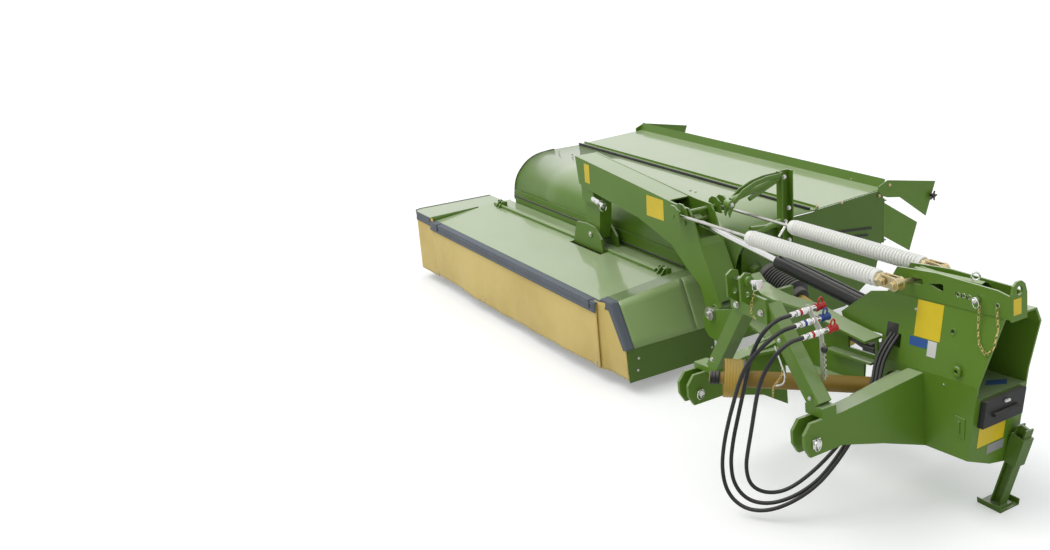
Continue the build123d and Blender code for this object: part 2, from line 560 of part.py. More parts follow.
with BuildPart() as post:
    block((MOWER_X[1], MOWER_X[1] + 8), (1240, 1330), (810, 1255))
    for y in (1240, 1322):
        block((MOWER_X[1] + 8, MOWER_X[1] + 50), (y, y + 8), (810, 1255))
    bar((MOWER_X[1] + 28, 1010, 1130), (MOWER_X[1] + 28, 1245, 1215), 14, sides=8)
    bar((MOWER_X[1] + 28, 1010, 950), (MOWER_X[1] + 28, 1245, 925), 14, sides=8)
keep(post, "adjusting_post")

with BuildPart() as gearbox:
    block((MOWER_X[1] - 260, MOWER_X[1] - WALL - SEAT), (SHAFT_Y - 65, SHAFT_Y + 110), (560, 780))
    bar((MOWER_X[1] - 20, SHAFT_Y, SHAFT_IN[1]), (MOWER_X[1] + 52, SHAFT_Y, SHAFT_IN[1]), 38, sides=16)
keep(gearbox, "mower_gearbox")

INNER_GUARD = [(-1650, 545), (-1505, 290), (-1500, 80)]
with BuildPart() as guard:
    plate_y(INNER_GUARD + [(x - 4, z) for x, z in reversed(INNER_GUARD)], 270, 905)
    plate_x([(270, 541), (779, 590.3), (900, 590.3), (900, 595), (776, 595), (270, 546)],
            DECK_X[1] + 6, -1650)
keep(guard, "inner_guard")

with BuildPart() as curtain:
    plate_y([(DECK_X[1] + 6, 536), (-1652, 536), (-1512, 288), (-1505, SKIRT_Z), (DECK_X[1] + 6, SKIRT_Z)],
            265.7, 269.7)
keep(curtain, "inner_curtain")

with BuildPart() as rotor:
    bar((ROTOR_X[0], ROTOR_Y, ROTOR_Z), (ROTOR_X[1], ROTOR_Y, ROTOR_Z), ROTOR_TUBE_R, sides=12)
    bar((ROTOR_X[0] + 10, ROTOR_Y, ROTOR_Z), (ROTOR_X[1] - 10, ROTOR_Y, ROTOR_Z), ROTOR_TUBE_R - 12,
        Mode.SUBTRACT, sides=6)
    bar((MOWER_X[0] - 4, ROTOR_Y, ROTOR_Z), (ROTOR_X[0] + 10, ROTOR_Y, ROTOR_Z), 25)
    bar((ROTOR_X[1] - 10, ROTOR_Y, ROTOR_Z), (MOWER_X[1] + 4, ROTOR_Y, ROTOR_Z), 25)
    for i in range(TINE_ROWS):
        x = ROTOR_X[0] + 60 + i * (ROTOR_X[1] - ROTOR_X[0] - 120) / (TINE_ROWS - 1)
        for turn in (0, 120, 240):
            a = radians(turn + 30 * (i % 2))
            with BuildSketch(Plane(origin=(x, ROTOR_Y + 74 * cos(a), ROTOR_Z + 74 * sin(a)), x_dir=(1, 0, 0),
                                   z_dir=(0, cos(a), sin(a)))) as tine:
                Rectangle(70, 10)
            extrude(tine.sketch, amount=TINE_REACH - 74)
keep(rotor, "conditioner_rotor")

# ---- guards and curtains ---------------------------------------------------------------------------
with BuildPart() as guard:
    plate_x([DECK_FRONT, DECK_REAR, (DECK_REAR[0], DECK_REAR[1] + 6), (DECK_FRONT[0], DECK_FRONT[1] + 6)],
            *DECK_X)
    block((-2905, -2485), (690, 775), (500, 620), Mode.SUBTRACT)
    for x in HINGE_X:
        block((x - 4, x + 104), (748, 780), (540, 640), Mode.SUBTRACT)
        for offset in (20, 68):
            plate_x([(730, 572), (748, 574), (768, 596), (784, 596), (792, 606), (790, 622), (778, 628),
                     (762, 622), (730, 590)], x + offset, x + offset + 8)
        bar((x, *GUARD_HINGE), (x + 100, *GUARD_HINGE), 8 + SEAT, Mode.SUBTRACT, sides=10)
keep(guard, "front_guard")

with BuildPart() as curtain:
    block(DECK_X, (DECK_FRONT[0] - CURTAIN, DECK_FRONT[0]), (SKIRT_Z, DECK_FRONT[1] + 6))
keep(curtain, "front_curtain")

OUTER_EDGE = [(OUTER_GUARD_X[1], 232), (-4560, 232), (-4612, 250), (OUTER_GUARD_X[0], 302),
              (OUTER_GUARD_X[0], 905)]
with BuildPart() as guard:
    plate_z(OUTER_EDGE + [(OUTER_GUARD_X[1], 905)], 550, 556)
    for y in (788, 836):
        plate_y([(-4330, 552), (-4300, 549), (-4285, 548), (-4271, 555), (-4270, 569), (-4280, 578),
                 (-4292, 577), (-4330, 556)], y, y + 8)
    bar_y(*OUTER_HINGE, 780, 850, 8 + SEAT, Mode.SUBTRACT, sides=10)
keep(guard, "outer_guard")

with BuildPart() as curtain:
    offset_edge = [(OUTER_GUARD_X[1], 228), (-4561, 228), (-4615, 247), (-4634, 301), (-4634, 905)]
    plate_z(OUTER_EDGE + offset_edge[::-1], SKIRT_Z, 556)
keep(curtain, "outer_curtain")

# ---- intermediate shaft -----------------------------------------------------------------------------
shaft_span = sqrt((SHAFT_IN[0] - SHAFT_OUT[0]) ** 2 + (SHAFT_IN[1] - SHAFT_OUT[1]) ** 2)
shaft_way = ((SHAFT_IN[0] - SHAFT_OUT[0]) / shaft_span, (SHAFT_IN[1] - SHAFT_OUT[1]) / shaft_span)


def on_shaft(distance):
    """Point on the intermediate shaft's axis, at a distance from the headstock."""
    return (SHAFT_OUT[0] + shaft_way[0] * distance, SHAFT_Y, SHAFT_OUT[1] + shaft_way[1] * distance)


with BuildPart() as guard:
    bar(on_shaft(190), on_shaft(465), 42, hole=28 + SEAT)
    bar(on_shaft(150), on_shaft(192), 70, sides=12)
    bar(on_shaft(-8), on_shaft(160), 34, sides=16)
    bar_y(*SHAFT_OUT, SHAFT_Y - 54, SHAFT_Y + 54, 12)
keep(guard, "shaft_guard")

with BuildPart() as bellows:
    bar(on_shaft(330), on_shaft(600), 28)
    bar(on_shaft(600), on_shaft(640), 60, sides=16)
    bar(on_shaft(640), on_shaft(shaft_span), 96, sides=16)
keep(bellows, "shaft_bellows")

# ---- power take-off shaft ----------------------------------------------------------------------------
with BuildPart() as guard:
    bar(on_pto(150), on_pto(pto_length - 60), 40)
    bar(on_pto(60), on_pto(158), 90, sides=20)
    bar(on_pto(50), on_pto(146), 62, Mode.SUBTRACT, sides=20)
    bar(on_pto(140), on_pto(pto_length), 24 + SEAT, Mode.SUBTRACT)
keep(guard, "pto_guard", rolled=True)

with BuildPart() as yoke:
    bar(on_pto(0), on_pto(70), 32, hole=17.5)
    bar(on_pto(70), on_pto(pto_length - 40), 24)
keep(yoke, "pto_shaft", rolled=True)

# ---- parking stand --------------------------------------------------------------------------------
stand_way = (Vector(*STAND_TOP) - Vector(*STAND_FOOT)).normalized()
with BuildPart() as stand:
    start = Vector(*STAND_FOOT) + stand_way * 12
    with BuildSketch(Plane(origin=start, x_dir=(0, 1, 0), z_dir=stand_way)) as leg:
        Rectangle(STAND_LEG, STAND_LEG)
        for side in (1, -1):
            with Locations((side * 20, 0)):
                Rectangle(24, STAND_LEG - 16, mode=Mode.SUBTRACT)
    extrude(leg.sketch, amount=(Vector(*STAND_TOP) - Vector(*STAND_FOOT)).length)
    x, y = STAND_FOOT[:2]
    plate_x([(y - 62, 30), (y - 56, 0), (y + 76, 0), (y + 82, 30), (y + 76, 30), (y + 71, 6), (y - 51, 6),
             (y - 56, 30)], x - 75, x + 65)
    block((x - 40, x + 48), (y - 40, y + 46), (6, 16))
keep(stand, "stand_leg")

a = radians(HEADSTOCK_ROLL)
level_way = Vector(stand_way.X * cos(a) + stand_way.Z * sin(a), stand_way.Y,
                   stand_way.Z * cos(a) - stand_way.X * sin(a))
with BuildPart() as sleeve:
    low = Vector(*STAND_FOOT) + stand_way * 250
    x, z = level(low.X, low.Z)
    with BuildSketch(Plane(origin=(x, low.Y, z), x_dir=(0, 1, 0), z_dir=level_way)) as tube:
        Rectangle(STAND_LEG + 20, STAND_LEG + 20)
        Rectangle(STAND_LEG + 2 * SEAT, STAND_LEG + 2 * SEAT, mode=Mode.SUBTRACT)
    extrude(tube.sketch, amount=150)
    low_x = x - STAND_LEG / 2
    plate_y([(low_x - 60, z + 30), (low_x - 9, z + 20), (low_x + 8, z + 120), (low_x - 60, z + 130)],
            low.Y - 20, HOUSING_Y[1] - 12)
    plate_y([(0, 100), (HOUSING_RIGHT[0] - 33, 100), (HOUSING_RIGHT[1] + SEAT, HOUSING_Z[1]),
             (0, HOUSING_Z[1])], 600, 1100, Mode.SUBTRACT)
keep(sleeve, "stand_sleeve", rolled=True)

# ---- hoses and what they plug into --------------------------------------------------------------------
COUPLERS = [(333, 1054), (361, 1010), (408, 968)]   # X and Z
with BuildPart() as holder:
    plate_y([(170, 1000), (205, 1082), (300, 1092), (352, 1082), (395, 1035), (446, 1000), (446, 940),
             (420, 905), (420, 780), (395, 780), (330, 860), (235, 925)], 130, 137)
    for x, z in COUPLERS:
        bar_y(x, z, 120, 145, 16 + SEAT, Mode.SUBTRACT, sides=8)
keep(holder, "hose_holder", rolled=True)

with BuildPart() as couplers:
    for x, z in COUPLERS:
        bar_y(x, z, 30, 230, 15, sides=8)
        bar_y(x, z, 137 + SEAT, 160, 22, sides=8)
keep(couplers, "hose_couplers", rolled=True)

a = radians(HEADSTOCK_ROLL)
ports = [(x * cos(a) - (z - PIN_Z) * sin(a), 30, PIN_Z + x * sin(a) + (z - PIN_Z) * cos(a))
         for x, z in COUPLERS]
HOSES = {  # points on the ground's axes from the hole in the housing to the coupler
    "hose_1": [(262, 704, 803), (258, 640, 744), (268, 588, 680), (307, 530, 598), (314, 456, 500),
               (314, 370, 400), (308, 280, 300), (286, 182, 206), (222, 90, 130), (138, 12, 84),
               (56, -52, 92), (8, -94, 168), (2, -108, 282), (34, -110, 424), (86, -114, 570),
               (138, -122, 700), (180, -132, 800), (216, -136, 888), (247, -128, 966), (277, -104, 1033)],
    "hose_2": [(284, 704, 803), (280, 640, 744), (291, 588, 680), (330, 528, 596), (338, 454, 500),
               (337, 366, 398), (330, 268, 296), (304, 164, 196), (234, 66, 112), (142, -12, 56),
               (48, -72, 52), (-24, -112, 116), (-34, -134, 246), (6, -144, 404), (66, -152, 556),
               (124, -160, 680), (172, -168, 776), (214, -168, 852), (258, -150, 922), (303, -108, 991)],
    "hose_3": [(240, 704, 803), (236, 640, 744), (245, 588, 678), (284, 534, 594), (290, 464, 494),
               (280, 386, 394), (254, 298, 300), (224, 208, 222), (186, 122, 160), (148, 56, 134),
               (108, -12, 146), (82, -60, 196), (76, -74, 284), (104, -80, 384), (146, -92, 490),
               (196, -110, 612), (244, -128, 722), (286, -136, 812), (326, -130, 887), (358, -105, 953)],
}
for (label, points), port in zip(HOSES.items(), ports):
    route = [Vector(*p) for p in points + [(port[0], -46, port[2]), port]]
    runs = [(b - a).length for a, b in zip(route, route[1:])]
    radii = []
    for i in range(1, len(route) - 1):
        half_turn = radians((route[i] - route[i - 1]).get_angle(route[i + 1] - route[i])) / 2
        radii.append(0.45 * min(runs[i - 1], runs[i]) / tan(half_turn))
    with BuildPart() as hose:
        with BuildLine() as path:
            FilletPolyline(*route, radius=radii)
        with BuildSketch(Plane(origin=route[0], z_dir=route[1] - route[0])) as section:
            RegularPolygon(HOSE_D / 2, 6)
        sweep(section.sketch, path=path.wire())
    keep(hose, label)
    length = path.wire().length
    print(label, "length", round(length), "volume ratio",
          round(hose.part.volume / (section.sketch.area * length), 4), "radii", [round(r) for r in radii],
          "runs", [round(r) for r in runs])

# ---- export ------------------------------------------------------------------------------------------
boxes = [piece.bounding_box() for label, piece in nodes.items() if label not in [*HOSES, "hose_couplers"]]
low = Vector(*(min(getattr(box.min, axis) for box in boxes) for axis in "XYZ"))
high = Vector(*(max(getattr(box.max, axis) for box in boxes) for axis in "XYZ"))
shift = Vector(-(low.X + high.X) / 2, -(low.Y + high.Y) / 2, -low.Z)
for label, piece in nodes.items():
    placed = piece.moved(Location(shift))
    placed.label = label
    export_step(placed, f"parts/{label}.step")
print("nodes", len(nodes), "origin from the hitch frame", shift)
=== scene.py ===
"""Looks of the disc mower."""
import bmesh, bpy
from math import cos, pi, radians, sin
from mathutils import Matrix, Vector


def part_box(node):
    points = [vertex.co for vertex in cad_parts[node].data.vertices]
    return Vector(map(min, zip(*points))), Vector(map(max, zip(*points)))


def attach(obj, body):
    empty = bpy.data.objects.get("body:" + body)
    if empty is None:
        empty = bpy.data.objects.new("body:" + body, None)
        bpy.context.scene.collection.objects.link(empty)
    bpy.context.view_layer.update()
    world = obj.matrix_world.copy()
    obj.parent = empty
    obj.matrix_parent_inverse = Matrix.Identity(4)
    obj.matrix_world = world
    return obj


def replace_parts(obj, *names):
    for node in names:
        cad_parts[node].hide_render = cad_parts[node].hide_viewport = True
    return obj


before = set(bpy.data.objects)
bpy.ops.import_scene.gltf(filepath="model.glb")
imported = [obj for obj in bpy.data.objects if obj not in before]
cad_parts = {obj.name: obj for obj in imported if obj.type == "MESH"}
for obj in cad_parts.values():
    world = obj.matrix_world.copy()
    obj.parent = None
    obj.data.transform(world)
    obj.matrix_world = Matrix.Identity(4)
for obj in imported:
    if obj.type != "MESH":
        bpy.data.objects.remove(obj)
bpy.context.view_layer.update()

HITCH = Vector((1.85978, -1.26565, 0.0))    # middle of the lower link pins, on the floor
LEAN = radians(3.9)                         # the parked headstock, housing side up
PIN_Z = 511                                 # height of the lower link pins, mm
RIGHT, BACK, UP = Vector((1, 0, 0)), Vector((0, 1, 0)), Vector((0, 0, 1))


def ground(x, y, z):
    """A point in millimetres from the hitch, on the ground's axes."""
    return HITCH + Vector((x, y, z)) / 1000


def level(x, y, z):
    """A point in millimetres on the axes of the leaning headstock."""
    rise = z - PIN_Z
    return ground(x * cos(LEAN) - rise * sin(LEAN), y, PIN_Z + x * sin(LEAN) + rise * cos(LEAN))


# ---- camera --------------------------------------------------------------------------------------
def camera():
    """Eye in front of the hitch and beyond the housing, looking along the cutter."""
    yaw, pitch, roll = radians(55.04), radians(18.33), radians(2.48)
    place = HITCH + Vector((3.792, -2.883, 2.780))
    look = Vector((-sin(yaw) * cos(pitch), cos(yaw) * cos(pitch), -sin(pitch)))
    data = bpy.data.cameras.new("camera")
    data.sensor_width = 36.0
    data.lens = 38.24
    data.shift_x = -0.167
    data.clip_end = 200.0
    eye = bpy.data.objects.new("camera", data)
    bpy.context.scene.collection.objects.link(eye)
    eye.matrix_world = (Matrix.Translation(place) @ look.to_track_quat("-Z", "Y").to_matrix().to_4x4()
                        @ Matrix.Rotation(-roll, 4, "Z"))
    bpy.context.scene.camera = eye


# ---- shader nodes --------------------------------------------------------------------------------
class Signal:
    """A number, colour or shader that runs through a node tree."""

    def __init__(self, nodes, socket):
        self.nodes, self.socket = nodes, socket

    def _math(self, operation, first, second, clamp=False):
        settings = {"operation": operation, "use_clamp": clamp}
        return self.nodes.add("ShaderNodeMath", settings, {0: first, 1: second})

    def __add__(self, other):
        return self._math("ADD", self, other)

    def __radd__(self, other):
        return self._math("ADD", other, self)

    def __sub__(self, other):
        return self._math("SUBTRACT", self, other)

    def __rsub__(self, other):
        return self._math("SUBTRACT", other, self)

    def __mul__(self, other):
        return self._math("MULTIPLY", self, other)

    def __rmul__(self, other):
        return self._math("MULTIPLY", other, self)

    def either(self, other):
        """1 where one of two masks is 1."""
        return self._math("ADD", self, other, clamp=True)

    def wave(self):
        """Sine of the signal."""
        return self._math("SINE", self, 0.0)

    def step(self, low, high):
        """0 below low, 1 above high, and smooth between; reversed when low is the larger."""
        settings = {"interpolation_type": "SMOOTHSTEP"}
        return self.nodes.add("ShaderNodeMapRange", settings, {0: self, 1: low, 2: high, 3: 0.0, 4: 1.0})


class Nodes:
    """A node tree and the ways of adding to it."""

    def __init__(self, tree):
        self.tree = tree

    def join(self, socket, value):
        """Link a signal to a socket, or set the socket's own value."""
        if isinstance(value, Signal):
            self.tree.links.new(value.socket, socket)
        else:
            socket.default_value = value

    def add(self, kind, settings=None, sockets=None, output=0):
        """One output of a new node, with its settings set first and then its sockets."""
        made = self.tree.nodes.new(kind)
        for key, value in (settings or {}).items():
            setattr(made, key, value)
        for key, value in (sockets or {}).items():
            self.join(made.inputs[key], value)
        return Signal(self, made.outputs[output])

    def axis(self, letter, vector):
        """One coordinate of a vector."""
        return self.add("ShaderNodeSeparateXYZ", sockets={0: vector}, output=letter)


class Finish(Nodes):
    """One material, built from nodes on object coordinates."""

    def __init__(self, name, **settings):
        self.material = bpy.data.materials.new(name)
        self.material.use_nodes = True
        super().__init__(self.material.node_tree)
        self.shader = self.tree.nodes["Principled BSDF"]
        for key, value in settings.items():
            self.channel(key).default_value = value
        self.place = self.add("ShaderNodeTexCoord", output="Object")

    def channel(self, name):
        """The shader's socket for a name such as base_color."""
        return self.shader.inputs[name.replace("_", " ").title().replace("Ior", "IOR")]

    def noise(self, scale, detail=3.0, rough=0.5, stretch=None):
        """Cloudy pattern between 0 and 1."""
        place = self.place
        if stretch:
            place = self.add("ShaderNodeMapping", sockets={0: place, "Scale": stretch})
        return self.add("ShaderNodeTexNoise", output="Fac", sockets={
            "Vector": place, "Scale": scale, "Detail": detail, "Roughness": rough})

    def facing_up(self):
        """1 on what lies flat, 0 on what stands upright."""
        return self.axis("Z", self.add("ShaderNodeNewGeometry", output="Normal"))

    def blend(self, factor, first, second):
        """Colour between two, as (r, g, b) or signals."""
        first, second = [c if isinstance(c, Signal) else (*c, 1.0) for c in (first, second)]
        return self.add("ShaderNodeMix", {"data_type": "RGBA"}, {0: factor, 6: first, 7: second}, output=2)

    def done(self, bump=None, height=0.001, strength=0.5, **channels):
        """Join the signals to the shader and hand the material over."""
        for key, value in channels.items():
            self.join(self.channel(key), value)
        if bump:
            rise = self.add("ShaderNodeBump", output="Normal", sockets={
                "Strength": strength, "Distance": height, "Height": bump})
            self.join(self.channel("normal"), rise)
        return self.material


# ---- finishes ------------------------------------------------------------------------------------
def paint(name, colour, dust_and_sheen=(0.62, 0.70, 0.48), dust_and_sheen_amount=0.66, rough=0.24):
    """Sprayed enamel with a faint peel, fine scratches, wax, and a pale film on what faces up that is partly
    settled dust and partly painted top light and sky sheen.
    """
    f = Finish(name, specular_ior_level=0.35, coat_roughness=0.08)
    cloud = f.noise(2.2, 5.0)
    speck = f.noise(60.0, 4.0, 0.7)
    shade = f.blend(cloud.step(0.3, 0.7) * 0.35, colour, [c * 0.78 for c in colour])
    # Tops get a pale film: settled dust, and also painted top light and sky sheen in each paint's own lit
    # colour.
    top_sheen_and_dust = f.facing_up().step(0.45, 1.02) * dust_and_sheen_amount * (0.72 + 0.5 * (cloud - 0.5))
    dust_and_sheen_film = top_sheen_and_dust + speck.step(0.66, 0.8) * 0.06
    scratch = f.noise(9.0, 6.0, 0.8, stretch=(1.0, 14.0, 14.0))
    return f.done(base_color=f.blend(dust_and_sheen_film, shade, dust_and_sheen), coat_weight=f.facing_up().step(0.45, 0.95) * 0.9,
                  roughness=rough + 0.18 * cloud + dust_and_sheen_film * 0.12 + scratch.step(0.62, 0.7) * 0.1,
                  bump=f.noise(420.0, 2.0), height=0.00025, strength=0.25)


def metal(name, colour, rough=0.3, dirt=0.35):
    """Bare or plated steel with brushing and dull patches."""
    f = Finish(name, metallic=1.0)
    patch = f.noise(14.0, 5.0, 0.6)
    grain = f.noise(90.0, 3.0, 0.6, stretch=(1.0, 1.0, 12.0))
    dull = patch.step(0.5, 0.72) * dirt
    return f.done(base_color=f.blend(dull, colour, (0.10, 0.09, 0.07)),
                  roughness=rough + 0.25 * dull + 0.16 * grain, bump=grain, height=0.0002, strength=0.3)


def plastic(name, colour, rough=0.45, dust_and_sheen_amount=0.3, dust_and_sheen=(0.42, 0.40, 0.34)):
    """Moulded plastic or rubber with a fine grain, dust patches, and a paler film on what faces up that is
    partly dust and partly painted top light.
    """
    f = Finish(name, specular_ior_level=0.4)
    cloud = f.noise(6.0, 5.0)
    # Paler on what faces up: dust, and also painted top light in the material's own paler colour.
    dust_and_sheen_film = f.facing_up().step(0.2, 1.0) * dust_and_sheen_amount * (0.4 + cloud) + cloud.step(0.58, 0.75) * dust_and_sheen_amount * 0.3
    grain = f.noise(900.0, 2.0)
    return f.done(base_color=f.blend(dust_and_sheen_film, f.blend(cloud, colour, [c * 0.7 for c in colour]), dust_and_sheen),
                  roughness=rough + 0.25 * dust_and_sheen_film + 0.1 * cloud, bump=grain, height=0.0003, strength=0.35)


def canvas_cloth():
    """Coated canvas: a plain weave, sun fading, and a darker tone towards the hem."""
    f = Finish("curtain_canvas", sheen_weight=0.15, sheen_roughness=0.5)
    threads = 3600.0
    across = (f.axis("X", f.place) * threads).wave()
    down = (f.axis("Z", f.place) * threads).wave()
    cloud = f.noise(1.7, 6.0, 0.6)
    fine = f.noise(24.0, 5.0, 0.6)
    low = f.axis("Z", f.place).step(0.32, 0.09)
    base = f.blend(cloud.step(0.3, 0.75), (0.71, 0.545, 0.165), (0.60, 0.44, 0.115))
    base = f.blend(low * 0.35 * cloud + fine.step(0.55, 0.8) * 0.12, base, (0.33, 0.23, 0.07))
    return f.done(base_color=base, roughness=0.62 + 0.12 * fine, bump=across * down * 0.5 + fine * 0.8,
                  height=0.0008, strength=0.4)


GREEN = paint("green_enamel", (0.112, 0.222, 0.020))
# Darker copy of the green for walls, guards, cutter bar, stand and gearbox: painted shade.
GREEN_PAINTED_SHADE = paint("green_enamel_painted_shade", (0.078, 0.155, 0.014), dust_and_sheen_amount=0.25)
# Paler copy of the green for the sloping covers: painted top light where they face the sky.
GREEN_SLANT_LIT = paint("green_enamel_painted_top_light", (0.285, 0.415, 0.150), dust_and_sheen_amount=0.2)
BLACK = paint("black_enamel", (0.018, 0.018, 0.019), dust_and_sheen=(0.25, 0.24, 0.2), dust_and_sheen_amount=0.3, rough=0.3)
WHITE = paint("white_enamel", (0.86, 0.86, 0.81), dust_and_sheen=(0.92, 0.92, 0.88), dust_and_sheen_amount=0.3, rough=0.32)
STEEL = metal("bright_steel", (0.62, 0.61, 0.58), 0.22)
CHROME = metal("chromed_steel", (0.78, 0.78, 0.77), 0.08, dirt=0.12)
ZINC = metal("yellow_zinc", (0.66, 0.56, 0.34), 0.3)
CAST = metal("cast_iron", (0.09, 0.09, 0.085), 0.5)
GREY = metal("plated_strip", (0.52, 0.53, 0.46), 0.45)
GOLD = metal("brass_chain", (0.72, 0.55, 0.25), 0.25)
STRIP = plastic("edge_rubber", (0.105, 0.125, 0.150), rough=0.5, dust_and_sheen_amount=0.25, dust_and_sheen=(0.25, 0.27, 0.30))
RUBBER = plastic("black_rubber", (0.022, 0.022, 0.023))
HOSE = plastic("hose_rubber", (0.014, 0.014, 0.015), rough=0.32, dust_and_sheen_amount=0.12)
YELLOW = plastic("yellow_guard_plastic", (0.56, 0.37, 0.06), rough=0.38, dust_and_sheen_amount=0.35,
                 dust_and_sheen=(0.36, 0.30, 0.14))
# Darker copy of the guard's yellow, for the parts inside and behind the cone.
DARK_YELLOW = plastic("dark_yellow_plastic", (0.300, 0.185, 0.022), rough=0.4, dust_and_sheen_amount=0.2,
                      dust_and_sheen=(0.20, 0.15, 0.05))
RED = plastic("red_caps", (0.50, 0.012, 0.01), rough=0.3, dust_and_sheen_amount=0.1)
BLUE = plastic("blue_caps", (0.012, 0.06, 0.30), rough=0.3, dust_and_sheen_amount=0.1)
THREAD = plastic("strip_thread", (0.30, 0.34, 0.38), rough=0.6, dust_and_sheen_amount=0.1)
LABEL_YELLOW = plastic("yellow_label", (0.83, 0.62, 0.02), rough=0.3, dust_and_sheen_amount=0.08)
LABEL_BLUE = plastic("blue_label", (0.03, 0.11, 0.38), rough=0.3, dust_and_sheen_amount=0.08)
LABEL_WHITE = plastic("white_label", (0.76, 0.76, 0.74), rough=0.3, dust_and_sheen_amount=0.08)
LABEL_GREY = plastic("grey_label", (0.34, 0.35, 0.34), rough=0.35, dust_and_sheen_amount=0.1)
CANVAS = canvas_cloth()

CAD_FINISHES = [
    (GREEN, ["hitch_arm_left", "hitch_arm_right", "mast_leg_left", "mast_leg_right", "mast_head",
             "cross_beam", "gear_housing", "spring_bracket", "lift_anchor", "boom_arm", "boom_ears",
             "hanger", "front_guard", "outer_guard", "hood", "rear_plate", "mower_frame", "wing_plates",
             "swath_board_inner", "swath_board_outer", "adjusting_post"]),
    (GREEN_PAINTED_SHADE, ["inner_guard", "inner_wall", "outer_wall", "cutter_bar", "stand_sleeve", "stand_leg",
                   "mower_gearbox"]),
    (STEEL, ["spring_rods", "boom_pivot_pin", "mower_pivot_pin"]),
    (CHROME, ["upper_link_pin", "lower_link_pins", "lift_rod", "hose_couplers"]),
    (ZINC, ["spring_trunnion"]),
    (CAST, ["headstock_gearbox", "conditioner_rotor", "skids"] + ["disc_%d" % n for n in range(1, 8)]),
    (BLACK, ["lift_barrel", "pto_shaft"]),
    (YELLOW, ["pto_guard", "shaft_guard"]),
    (GREY, ["hose_holder"]),
    (RUBBER, ["document_box", "shaft_bellows"]),
    (HOSE, ["hose_1", "hose_2", "hose_3"]),
    (WHITE, ["spring_coils"]),
    (CANVAS, ["front_curtain", "inner_curtain", "outer_curtain"]),
]


def finish_cad_nodes():
    """Give every solid of the CAD model its finish."""
    for material, names in CAD_FINISHES:
        for name in names:
            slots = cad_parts[name].data.materials
            slots.clear()
            slots.append(material)


# ---- ways of making a piece ----------------------------------------------------------------------
def aim(start, end):
    """Place and turn of something built up along +Z."""
    return Matrix.Translation(start) @ (end - start).to_track_quat("Z", "Y").to_matrix().to_4x4()


def length_of(line):
    """Length of a line of points."""
    return sum((q - p).length for p, q in zip(line, line[1:]))


def along(line, share):
    """Point a share of the way along a line of points, by length."""
    left = share * length_of(line)
    for p, q in zip(line, line[1:]):
        span = (q - p).length
        if left <= span or q is line[-1]:
            return p.lerp(q, min(left / span, 1.0))
        left -= span


def dress(piece, material, body, bevel=0.0, smooth=35.0):
    """Give a piece its finish, its smoothing and the body it rides."""
    bpy.context.scene.collection.objects.link(piece)
    piece.data.materials.append(material)
    if piece.type == "MESH":
        piece.data.shade_smooth()
        piece.data.set_sharp_from_angle(angle=radians(smooth))
        if bevel:
            edge = piece.modifiers.new("edges", "BEVEL")
            edge.width, edge.segments, edge.limit_method, edge.angle_limit = bevel, 2, "ANGLE", radians(40)
    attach(piece, body)
    return piece


